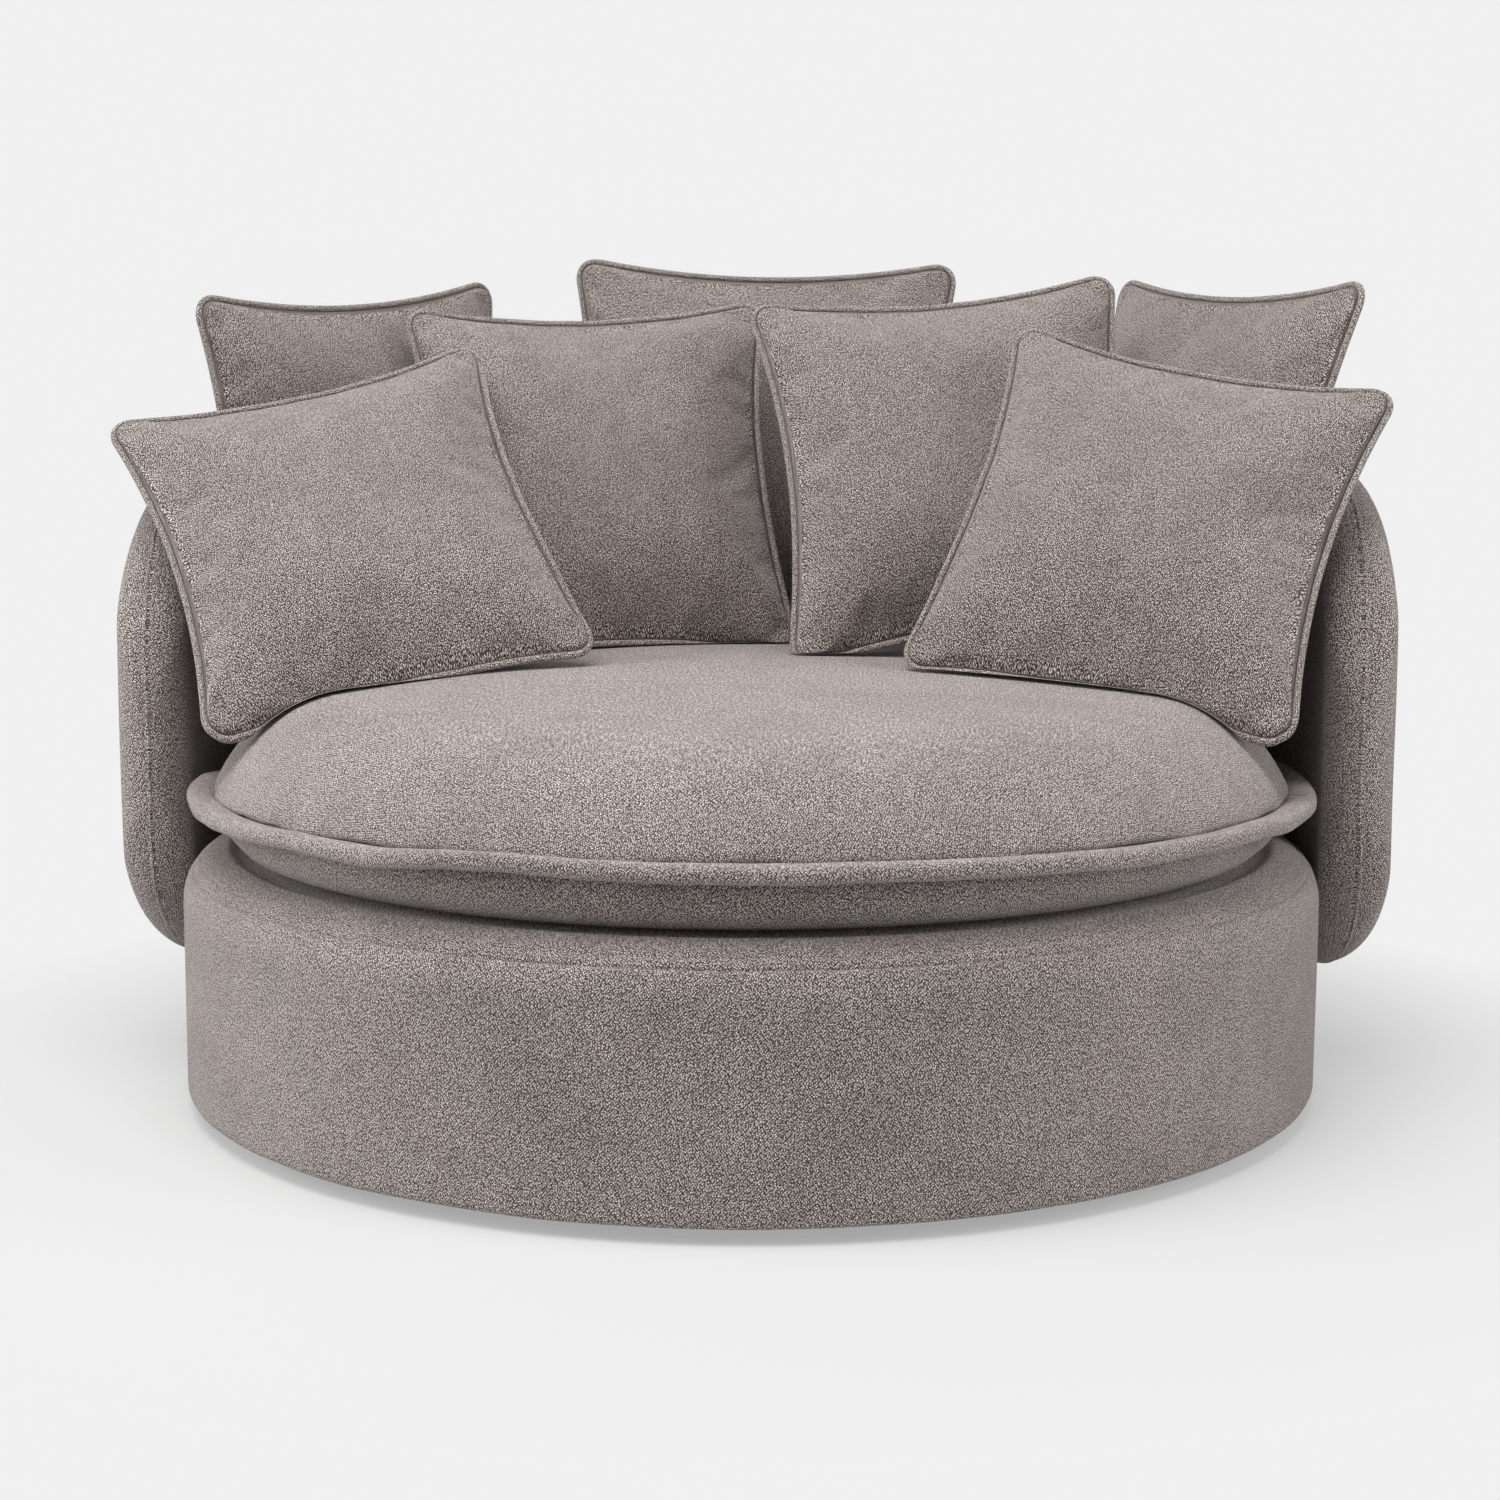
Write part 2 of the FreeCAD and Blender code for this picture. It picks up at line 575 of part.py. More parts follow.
def back_slab(inset):
    """Whole upholstered back, drawn in all round by an inset."""
    scale = math.degrees(1 / size(BACK_MIDDLE))
    tip = -size("wing_reach") * scale
    corner = max(size("wing_top_radius"), size("wing_bottom_radius"))
    arcs = []
    for index in range(WING_STEPS + 1):
        angle = WING_FIRST_ANGLE + (QUARTER_TURN - WING_FIRST_ANGLE) * index / WING_STEPS
        arcs.append(inset + (corner - inset) * (1 - math.cos(math.radians(angle))))
    sides = [(tip + arc * scale, back_section(arc, inset)) for arc in arcs]
    straight = back_section(corner, inset)
    last = sides[-1][0]
    span = 2 * QUARTER_TURN - 2 * last
    middle = [(last + span * index / BACK_STEPS, straight) for index in range(1, BACK_STEPS)]
    mirror = [(2 * QUARTER_TURN - angle, section) for angle, section in reversed(sides)]
    wires = []
    for angle, section in sides + middle + mirror:
        wire = section.copy()
        wire.rotate(Vector(), Vector(0, 0, 1), angle)
        wires.append(wire)
    return Part.makeLoft(wires, True, False)


SPLIT_MARGIN = 50.0
split = Part.makeCylinder(size(f"{BACK_MIDDLE} + back_seam"), size("back_top") + SPLIT_MARGIN)
skin = size("cover_thickness")
whole_back = back_slab(0.0)
padded_back = back_slab(skin)
panel = back_slab((size("back_thickness") - size("panel_thickness")) / 2)
back_cover = whole_back.cut(padded_back)
back_foam = padded_back.cut(panel)
panel_blank = feature("panel_blank", panel)
node("back_panel", combined("Part::Cut", "back_panel", panel_blank, bolt_holes))
foam_blank = feature("foam_blank", back_foam.common(split))
node("back_inner_foam", combined("Part::Cut", "back_inner_foam", foam_blank, spacer_holes))
cover_blank = feature("cover_blank", back_cover.common(split))
node("back_inner_cover", combined("Part::Cut", "back_inner_cover", cover_blank, spacer_holes))
node("back_outer_foam", feature("back_outer_foam", back_foam.cut(split)))
node("back_outer_cover", feature("back_outer_cover", back_cover.cut(split)))

# Seat cushion
CROWN_ARC = "((crown_radius ^ 2 + {0} ^ 2) / (2 * {0}))".format("crown_drop")


def edge_arc(radius, level, top):
    """Radius of the arc that carries the crown on, with no break, from the end
    of the crown down to a place (radius, level)."""
    run = f"({radius} - crown_radius)"
    fall = f"({top} - crown_drop - {level})"
    chord = f"sqrt({run} ^ 2 + {fall} ^ 2)"
    slope = f"(atan({fall} / {run}) - asin(crown_radius / {CROWN_ARC}))"
    return f"({chord} / (2 * sin({slope})))"


FOAM_TOP = "(seat_height - cover_thickness)"
foam_edge = edge_arc(FOAM_RADIUS, WELT_TOP, FOAM_TOP)
FOAM_BOTTOM = f"({SEAT_BOTTOM} + cover_thickness)"
LOWER_FLAT = "(seat_seam_radius - lower_edge_radius)"
foam = node("cushion_foam", turned("cushion_foam", [
    (NOTHING, FOAM_BOTTOM),
    (LOWER_FLAT, FOAM_BOTTOM, "(lower_edge_radius - cover_thickness)"),
    (FOAM_RADIUS, f"({SEAT_BOTTOM} + lower_edge_radius)"),
    (FOAM_RADIUS, WELT_TOP, foam_edge),
    ("crown_radius", f"({FOAM_TOP} - crown_drop)", CROWN_ARC),
    (NOTHING, FOAM_TOP),
]))
top_blank = turned("top_blank", [
    (NOTHING, "welt_height"),
    ("seat_seam_radius", "welt_height"),
    ("seat_seam_radius", WELT_TOP, edge_arc("seat_seam_radius", WELT_TOP, "seat_height")),
    ("crown_radius", "(seat_height - crown_drop)", CROWN_ARC),
    (NOTHING, "seat_height"),
])
node("cushion_top_cover", combined("Part::Cut", "cushion_top_cover", top_blank, foam))
under_blank = turned("under_blank", [
    (NOTHING, SEAT_BOTTOM),
    (LOWER_FLAT, SEAT_BOTTOM, "lower_edge_radius"),
    ("seat_seam_radius", f"({SEAT_BOTTOM} + lower_edge_radius)"),
    ("seat_seam_radius", "welt_height"),
    (NOTHING, "welt_height"),
])
under_cover = combined("Part::Cut", "under_cover", under_blank, foam)
ZIP_TOP = "(welt_height - zip_drop)"
zip_space = turned("zip_space", [
    (LOWER_FLAT, f"({ZIP_TOP} - zip_height)"),
    ("drum_radius", f"({ZIP_TOP} - zip_height)"),
    ("drum_radius", ZIP_TOP),
    (LOWER_FLAT, ZIP_TOP),
], angle=size("zip_angle"))
zip_space.Placement = Placement(
    Vector(), Rotation(Vector(0, 0, 1), QUARTER_TURN + size("zip_angle") / 2))
node("cushion_zip", combined("Part::Common", "cushion_zip", under_cover, zip_space))
node("cushion_bottom_cover",
     combined("Part::Cut", "cushion_bottom_cover", under_cover, zip_space))
WELT_ROUND = "(seat_seam_radius + welt_reach - welt_half)"
node("cushion_welt", turned("cushion_welt", [
    ("seat_seam_radius", "(welt_height - welt_half)"),
    (WELT_ROUND, "(welt_height - welt_half)", "welt_half"),
    ("(seat_seam_radius + welt_reach)", "welt_height", "welt_half"),
    (WELT_ROUND, WELT_TOP),
    ("seat_seam_radius", WELT_TOP),
]))


# Scatter cushions
TOP_SHARE = 0.3
TOP_BEND = 25.0
ROUND_SHARE = 0.6
LEVELS = 5


def square_outline(middle, corner, bend, depth):
    """Four bowed sides and four round corners in the plane at a depth. The
    middle is the half width, and a negative bend draws the sides in."""
    half_bend = math.radians(bend)
    centre = (middle - corner) / (1 + math.tan(half_bend / 2))
    across = centre + corner * math.cos(half_bend)
    along = centre + corner * math.sin(half_bend)
    tip = centre + corner * math.sqrt(0.5)
    edges = []
    for quarter in range(4):
        turn = Rotation(Vector(0, 1, 0), -QUARTER_TURN * quarter)
        places = [(across, -along), (middle, 0.0), (across, along), (tip, tip), (along, across)]
        points = [turn.multVec(Vector(x, 0, z)) + Vector(0, depth, 0) for x, z in places]
        edges.append(Part.Arc(*points[:3]).toShape())
        edges.append(Part.Arc(*points[2:]).toShape())
    return Part.Wire(edges)


def seam_bend(side):
    """Half angle of a drawn-in side at the seam, and its half width."""
    centre = side / 2 - size("corner_radius")
    return -2 * math.degrees(math.atan(size("side_draw") / centre)), side / 2 - size("side_draw")


def pillow(side, loft):
    """Closed form of a square cushion with its crown on both faces."""
    bend, middle = seam_bend(side)
    halves = []
    for face in (-1, 1):
        wires = []
        for index in range(LEVELS + 1):
            share = index / LEVELS
            angle = math.radians(QUARTER_TURN * share)
            width = middle * (TOP_SHARE + (1 - TOP_SHARE) * math.cos(angle))
            corner = size("corner_radius")
            corner += (width * ROUND_SHARE - corner) * math.sin(angle)
            bow = bend + (TOP_BEND - bend) * share
            depth = face * loft / 2 * math.sin(angle)
            wires.append(square_outline(width, corner, bow, depth))
        halves.append(Part.makeLoft(wires, True, False))
    return halves[0].fuse(halves[1])


def piping(side):
    """Round cord that follows the seam."""
    bend, middle = seam_bend(side)
    path = square_outline(middle, size("corner_radius"), bend, 0.0)
    start = path.Edges[0]
    place = start.valueAt(start.FirstParameter)
    along = start.tangentAt(start.FirstParameter)
    section = Part.Wire(Part.makeCircle(size("piping_radius"), place, along))
    return path.makePipeShell([section], True, False)


def seat_level(radius):
    """Level and steepness of the seat cushion's top at a radius."""
    arc = size(CROWN_ARC)
    reach = size("crown_radius")
    centre = size("seat_height") - arc
    if radius <= reach:
        level = centre + math.sqrt(arc ** 2 - radius ** 2)
        return level, radius / (level - centre)
    edge = size(edge_arc("seat_seam_radius", WELT_TOP, "seat_height"))
    share = (arc - edge) / arc
    middle = reach * share
    base = centre + math.sqrt(arc ** 2 - reach ** 2) * share
    run = min(radius, size("seat_seam_radius")) - middle
    rise = math.sqrt(edge ** 2 - run ** 2)
    return base + rise, run / rise


def rest_on_seat(place, side):
    """Move a scatter cushion up or down until its piping rests on the seat."""
    bend, middle = seam_bend(side)
    path = square_outline(middle, size("corner_radius"), bend, 0.0)
    lift = []
    for point in path.discretize(Number=1200):
        spot = place.multVec(point)
        level, slope = seat_level(math.hypot(spot.x, spot.y))
        room = (size("piping_radius") + size("fit_clearance")) * math.hypot(1, slope)
        lift.append(level + room - spot.z)
    return Placement(place.Base + Vector(0, 0, max(lift)), place.Rotation)


# Name, family, azimuth of the middle in degrees, distance from the inside of the
# back in millimetres, then turn, lean and roll in degrees.
SCATTER = [
    ("back_centre", "large", 91.0, 134.6, 3.4, -6.6, 0.9),
    ("back_left", "large", 149.3, 73.9, 54.4, -3.9, -3.0),
    ("back_right", "large", 26.2, 67.4, -60.7, -15.3, 1.5),
    ("mid_left", "small", 128.5, 313.1, 13.4, -25.7, -1.4),
    ("mid_right", "small", 37.5, 331.0, 5.6, -27.0, -5.3),
    ("front_left", "small", 181.2, 178.1, 10.6, -41.8, -15.9),
    ("front_right", "small", 357.9, 188.0, -11.3, -35.4, 12.0),
]
MAKES = {}
for family in ("large", "small"):
    across = size(f"{family}_side")
    loft = size(f"{family}_loft")
    inset = size("piping_radius") + size("case_thickness")
    cord = piping(across)
    filling = pillow(across - 2 * inset, loft - 2 * size("case_thickness"))
    MAKES[family] = {
        "case": pillow(across, loft).cut(filling).cut(cord),
        "filling": filling,
        "piping": cord,
    }
for name, family, azimuth, depth, turn, lean, roll in SCATTER:
    radius = size(BACK_INSIDE) - depth
    middle = Rotation(Vector(0, 0, 1), azimuth).multVec(Vector(radius, 0, 0))
    tilt = Rotation(Vector(0, 0, 1), turn)
    tilt = tilt.multiply(Rotation(Vector(1, 0, 0), lean)).multiply(Rotation(Vector(0, 1, 0), roll))
    place = rest_on_seat(Placement(middle, tilt), size(f"{family}_side"))
    for piece, shape in MAKES[family].items():
        node(f"{name}_{piece}", feature(f"{name}_{piece}", shape, place))

doc.recompute()
for obj in doc.Objects:
    if "Invalid" in obj.State or "Error" in obj.State:
        raise RuntimeError(f"{obj.Label} was not built: {obj.State}")
for name, obj in nodes.items():
    if obj.Shape.isNull() or not obj.Shape.isValid() or not obj.Shape.Solids:
        raise RuntimeError(f"{name} has no sound solid")

os.makedirs("parts", exist_ok=True)
for name, obj in nodes.items():
    obj.Shape.exportStep(os.path.join("parts", f"{name}.step"))
    print(name, len(obj.Shape.Solids), round(obj.Shape.Volume))
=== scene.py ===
"""Round swivel chair in taupe chenille: a drum base, a round seat cushion with a
rolled flange, a padded back that wraps round the drum, and seven piped scatter
cushions. Metres, with the origin on the swivel axis at the floor."""
import logging
import math
from dataclasses import dataclass, field
from enum import Enum
from typing import Callable, Sequence

import bmesh
import bpy
from mathutils import Euler, Matrix, Vector, noise


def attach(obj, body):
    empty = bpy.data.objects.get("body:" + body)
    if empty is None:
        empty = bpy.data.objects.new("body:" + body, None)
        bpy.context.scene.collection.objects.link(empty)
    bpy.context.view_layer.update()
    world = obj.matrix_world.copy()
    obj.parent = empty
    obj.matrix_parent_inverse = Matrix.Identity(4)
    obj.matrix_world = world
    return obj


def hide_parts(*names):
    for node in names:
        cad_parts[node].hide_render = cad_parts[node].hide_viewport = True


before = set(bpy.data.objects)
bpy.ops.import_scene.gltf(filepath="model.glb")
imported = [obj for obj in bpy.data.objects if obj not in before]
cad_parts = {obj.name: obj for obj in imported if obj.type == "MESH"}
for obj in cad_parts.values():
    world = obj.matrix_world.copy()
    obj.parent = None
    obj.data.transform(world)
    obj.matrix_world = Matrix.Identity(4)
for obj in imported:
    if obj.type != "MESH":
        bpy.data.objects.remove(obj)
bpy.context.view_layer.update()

Colour = tuple[float, float, float, float]
Pair = tuple[float, float]
Socket = bpy.types.NodeSocket
Node = bpy.types.Node
Tree = bpy.types.NodeTree
Material = bpy.types.Material
Piece = bpy.types.Object

LOG = logging.getLogger("swivel_chair")
FULL_TURN = 2.0 * math.pi
VALUE = "NodeSocketFloat"
VECTOR = "NodeSocketVector"


class Family(Enum):
    """Corner to corner width and full thickness of the scatter cushions."""

    LARGE = (0.474, 0.108)
    SMALL = (0.428, 0.117)


class Finish(Enum):
    """Materials of the chair."""

    CHENILLE = "upholstery"
    CUSHION = "cushion_cloth"
    PIPING = "piping_cloth"
    DUST_CLOTH = "dark_cloth"
    WEBBING = "webbing"
    PLYWOOD = "plywood"
    TIMBER = "timber"
    STEEL = "steel"
    BLACK_STEEL = "black_steel"
    NYLON = "nylon"
    ZIP = "zip_tape"


# ---------------------------------------------------------------- shading


def srgb(red: float, green: float, blue: float) -> Colour:
    """Turn a colour of 0 to 255 into linear light.

    Args:
        red: Red as it is seen on screen.
        green: Green as it is seen on screen.
        blue: Blue as it is seen on screen.

    Returns:
        Linear colour with an alpha of 1.
    """
    linear = []
    for part in (red, green, blue):
        share = part / 255.0
        linear.append(share / 12.92 if share <= 0.04045 else ((share + 0.055) / 1.055) ** 2.4)
    return (linear[0], linear[1], linear[2], 1.0)


class NodeSheet:
    """Short way to add and join the nodes of one tree."""

    def __init__(self, tree: Tree) -> None:
        """Empty the tree and keep it."""
        self.tree = tree
        tree.nodes.clear()

    def add(self, kind: str, settings: dict | None = None, **inputs: object) -> Node:
        """Add a node.

        Args:
            kind: Blender's name of the node type.
            settings: Properties of the node.
            **inputs: Values or sockets for its inputs, named with underscores.

        Returns:
            The new node.
        """
        made = self.tree.nodes.new(kind)
        for name, value in (settings or {}).items():
            setattr(made, name, value)
        for name, value in inputs.items():
            self.feed(made, name.replace("_", " "), value)
        return made

    def feed(self, made: Node, name: str, value: object) -> None:
        """Join a socket to an input, or set the input's own value.

        Args:
            made: Node that receives.
            name: Input's name in lower case, or its number as text.
            value: Socket or plain value.
        """
        if name.isdigit():
            target = made.inputs[int(name)]
        else:
            target = next(item for item in made.inputs
                          if item.name.lower() == name and item.enabled)
        if isinstance(value, Socket):
            self.tree.links.new(value, target)
        else:
            target.default_value = value

    def feed_all(self, made: Node, *values: object) -> Node:
        """Feed a node's inputs in their order.

        Args:
            made: Node that receives.
            *values: Sockets or plain values.

        Returns:
            The same node.
        """
        for number, value in enumerate(values):
            self.feed(made, str(number), value)
        return made

    def math(self, operation: str, first: object, second: object = 0.0) -> Socket:
        """Result of a Math node on two values or sockets."""
        made = self.add("ShaderNodeMath", {"operation": operation})
        return self.feed_all(made, first, second).outputs[0]

    def plus(self, first: object, second: object) -> Socket:
        """Sum of two values or sockets."""
        return self.math("ADD", first, second)

    def times(self, first: object, second: object) -> Socket:
        """Product of two values or sockets."""
        return self.math("MULTIPLY", first, second)

    def blend(self, share: object, first: object, second: object, mode: str = "MIX") -> Socket:
        """Colour that lies between two colours.

        Args:
            share: How much of the second colour there is.
            first: First colour.
            second: Second colour.
            mode: Blend type.

        Returns:
            Colour output of a Mix node.
        """
        made = self.add("ShaderNodeMix", {"data_type": "RGBA", "blend_type": mode})
        for number, value in ((0, share), (6, first), (7, second)):
            self.feed(made, str(number), value)
        return made.outputs[2]

    def spread(self, value: object, low: float, high: float, to_low: float = 0.0,
               to_high: float = 1.0) -> Socket:
        """Map a value from one range to another, without overshoot.

        Args:
            value: Socket or plain value.
            low: Start of the first range.
            high: End of the first range.
            to_low: Start of the second range.
            to_high: End of the second range.

        Returns:
            Output of a Map Range node.
        """
        made = self.add("ShaderNodeMapRange", {"clamp": True})
        return self.feed_all(made, value, low, high, to_low, to_high).outputs[0]

    def noise(self, place: Socket, flat: bool, **inputs: object) -> Node:
        """Noise node, on a flat map or in space."""
        settings = {"noise_dimensions": "2D" if flat else "3D"}
        return self.add("ShaderNodeTexNoise", settings, vector=place, **inputs)

    def stretch(self, place: Socket, along: float, turn: float = 0.0) -> Socket:
        """Turn a place and scale it along its second axis.

        Args:
            place: Socket with the place.
            along: Scale along the second axis.
            turn: Degrees about the third axis.

        Returns:
            Output of a Mapping node.
        """
        made = self.add("ShaderNodeMapping", vector=place, scale=(1.0, along, 1.0),
                        rotation=(0.0, 0.0, math.radians(turn)))
        return made.outputs[0]

    def own_place(self) -> Socket:
        """Place in the object's own space."""
        return self.add("ShaderNodeTexCoord").outputs["Object"]

    def raise_surface(self, shader: Node, height: Socket, lift: float,
                      strength: float = 1.0) -> None:
        """Join a Bump node to a shader's normal.

        Args:
            shader: Node that receives the normal.
            height: Height of 0 to 1.
            lift: Length in metres that a height of 1 stands for.
            strength: Strength of the effect.
        """
        bump = self.add("ShaderNodeBump", height=height, distance=lift, strength=strength)
        self.feed(shader, "normal", bump.outputs[0])


def new_group(name: str, inputs: Sequence[tuple[str, str, object]],
              outputs: Sequence[str]) -> tuple[Tree, NodeSheet, Node, Node]:
    """Start a shader node group with named sockets.

    Args:
        name: Name of the group.
        inputs: Name, socket type and default of each input.
        outputs: Name of each output, which is a value.

    Returns:
        The group, its sheet, its input node and its output node.
    """
    tree = bpy.data.node_groups.new(name, "ShaderNodeTree")
    for label, kind, default in inputs:
        socket = tree.interface.new_socket(label, in_out="INPUT", socket_type=kind)
        if default is not None:
            socket.default_value = default
    for label in outputs:
        tree.interface.new_socket(label, in_out="OUTPUT", socket_type=VALUE)
    sheet = NodeSheet(tree)
    return tree, sheet, sheet.add("NodeGroupInput"), sheet.add("NodeGroupOutput")


@dataclass(frozen=True)
class PebbleWeave:
    """Pebbled twill of chenille, laid on a flat cloth map in metres. A scale is a
    number of waves per metre, and a share is a part of the speckle."""

    wander_scale: float = 70.0
    wander_reach: float = 0.0012
    twill_turn: float = 38.0
    twill_squash: float = 0.80
    pebble_disorder: float = 0.55
    pebble_edge: Pair = (0.04, 0.58)
    pebble_share: float = 0.86
    pebble_tint: float = 0.12
    pebble_rise: Pair = (0.5, 1.1)
    fibre_scale: float = 880.0
    fibre_share: float = 2.60
    fibre_rise: float = 0.3
    tuft_scale: float = 430.0
    tuft_squash: float = 0.28
    tuft_share: float = 1.6
    patch_scale: float = 6.0
    patch_share: float = 0.62
    stroke_scale: float = 36.0
    stroke_share: float = 0.38
    nap_range: Pair = (0.36, 0.64)
    middle: float = 0.44
    # Speckle contrast left on surfaces that face up: painted light, standing in for the weaker
    # shading of the weave's bumps under light from above.
    brushed_calm: float = 0.72

    def build(self) -> Tree:
        """Make the group.

        Returns:
            Group with the weave's height, its speckle and the lie of its nap.
        """
        tree, sheet, start, end = new_group(
            "pebble_weave",
            [("Vector", VECTOR, None), ("Pitch", VALUE, 420.0), ("Brushed", VALUE, 0.0)],
            ["Height", "Speckle", "Nap"])
        flat, brushed = start.outputs["Vector"], start.outputs["Brushed"]
        wander = sheet.noise(flat, True, scale=self.wander_scale, detail=2.0)
        shift = sheet.add("ShaderNodeVectorMath", {"operation": "SCALE"})
        sheet.feed(shift, "0", wander.outputs["Color"])
        shift.inputs["Scale"].default_value = self.wander_reach
        moved = sheet.feed_all(sheet.add("ShaderNodeVectorMath", {"operation": "ADD"}),
                               flat, shift.outputs[0])
        twill = sheet.stretch(moved.outputs[0], self.twill_squash, self.twill_turn)
        pebble = sheet.add("ShaderNodeTexVoronoi", {"feature": "F1", "voronoi_dimensions": "2D"},
                           vector=twill, scale=start.outputs["Pitch"],
                           randomness=self.pebble_disorder)
        fibre = sheet.noise(flat, True, scale=self.fibre_scale, detail=1.0, roughness=0.6)
        patch = sheet.noise(flat, True, scale=self.patch_scale, detail=4.0, roughness=0.55,
                            distortion=0.6)
        stroke = sheet.noise(flat, True, scale=self.stroke_scale, detail=3.0, roughness=0.6)
        tuft = sheet.noise(sheet.stretch(flat, self.tuft_squash), True, scale=self.tuft_scale,
                           detail=1.0)
        tip = sheet.spread(pebble.outputs["Distance"], *self.pebble_edge, 1.0, 0.0)
        tint = sheet.add("ShaderNodeSeparateColor", color=pebble.outputs["Color"])
        bright = sheet.plus(sheet.times(tip, self.pebble_share),
                            sheet.spread(tint.outputs[0], 0.0, 1.0, -self.pebble_tint,
                                         self.pebble_tint))
        grain = sheet.times(sheet.math("SUBTRACT", fibre.outputs[0], 0.5), self.fibre_share)
        # On surfaces that face up the speckle gets combed tufts of nap and is calmed; the calming
        # is painted light, for the weaker bump shading under light from above.
        comb = sheet.times(sheet.math("SUBTRACT", tuft.outputs[0], 0.5),
                           sheet.times(brushed, self.tuft_share))
        raw = sheet.plus(sheet.math("SUBTRACT", bright, self.middle), sheet.plus(grain, comb))
        calm = sheet.spread(brushed, 0.0, 1.0, 1.0, self.brushed_calm)
        lie = sheet.plus(sheet.times(patch.outputs[0], self.patch_share),
                         sheet.times(stroke.outputs[0], self.stroke_share))
        stand = sheet.times(tip, sheet.spread(tint.outputs[1], 0.0, 1.0, *self.pebble_rise))
        sheet.feed(end, "height", sheet.plus(stand, sheet.times(grain, self.fibre_rise)))
        sheet.feed(end, "speckle", sheet.plus(sheet.times(raw, calm), 0.5))
        sheet.feed(end, "nap", sheet.spread(lie, *self.nap_range))
        return tree


def make_fibre_speckle() -> Tree:
    """Group for fine felted or woven stuff, laid in the object's own space.

    Returns:
        Group with a height and a speckle.
    """
    tree, sheet, start, end = new_group(
        "fibre_speckle", [("Vector", VECTOR, None), ("Pitch", VALUE, 700.0)],
        ["Height", "Speckle"])
    place = start.outputs["Vector"]
    cell = sheet.add("ShaderNodeTexVoronoi", {"feature": "F1"}, vector=place,
                     scale=start.outputs["Pitch"], randomness=0.9)
    cloud = sheet.noise(place, False, scale=25.0, detail=5.0, roughness=0.6)
    crown = sheet.spread(cell.outputs["Distance"], 0.1, 0.65, 1.0, 0.0)
    sheet.feed(end, "height", crown)
    sheet.feed(end, "speckle", sheet.plus(sheet.times(crown, 0.6),
                                          sheet.times(cloud.outputs[0], 0.4)))
    return tree


def make_grain() -> Tree:
    """Group for wood grain along Y.

    Returns:
        Group with a grain mask and a pore mask.
    """
    tree, sheet, start, end = new_group(
        "wood_grain", [("Vector", VECTOR, None), ("Scale", VALUE, 22.0)], ["Grain", "Pores"])
    along = sheet.stretch(start.outputs["Vector"], 0.06)
    bands = sheet.noise(along, False, scale=start.outputs["Scale"], detail=6.0, roughness=0.6,
                        distortion=1.2)
    pores = sheet.noise(along, False, scale=420.0, detail=2.0)
    sheet.feed(end, "grain", sheet.spread(bands.outputs[0], 0.3, 0.7))
    sheet.feed(end, "pores", sheet.spread(pores.outputs[0], 0.55, 0.7))
    return tree


def make_wear() -> Tree:
    """Group for dust and fine scratches on hard pieces.

    Returns:
        Group with a dust mask and a scratch mask.
    """
    tree, sheet, start, end = new_group(
        "dust_and_scratches", [("Vector", VECTOR, None)], ["Dust", "Scratches"])
    place = start.outputs["Vector"]
    cloud = sheet.noise(place, False, scale=18.0, detail=5.0)
    lines = sheet.noise(sheet.stretch(place, 12.0), False, scale=90.0, detail=2.0)
    sheet.feed(end, "dust", sheet.spread(cloud.outputs[0], 0.45, 0.75))
    sheet.feed(end, "scratches", sheet.spread(lines.outputs[0], 0.6, 0.72))
    return tree


def new_material(name: str) -> tuple[Material, NodeSheet, Node]:
    """Start a material.

    Args:
        name: Name of the material.

    Returns:
        The material, its sheet and its Principled BSDF.
    """
    material = bpy.data.materials.new(name)
    material.use_nodes = True
    sheet = NodeSheet(material.node_tree)
    shader = sheet.add("ShaderNodeBsdfPrincipled")
    sheet.add("ShaderNodeOutputMaterial", surface=shader.outputs[0])
    return material, sheet, shader


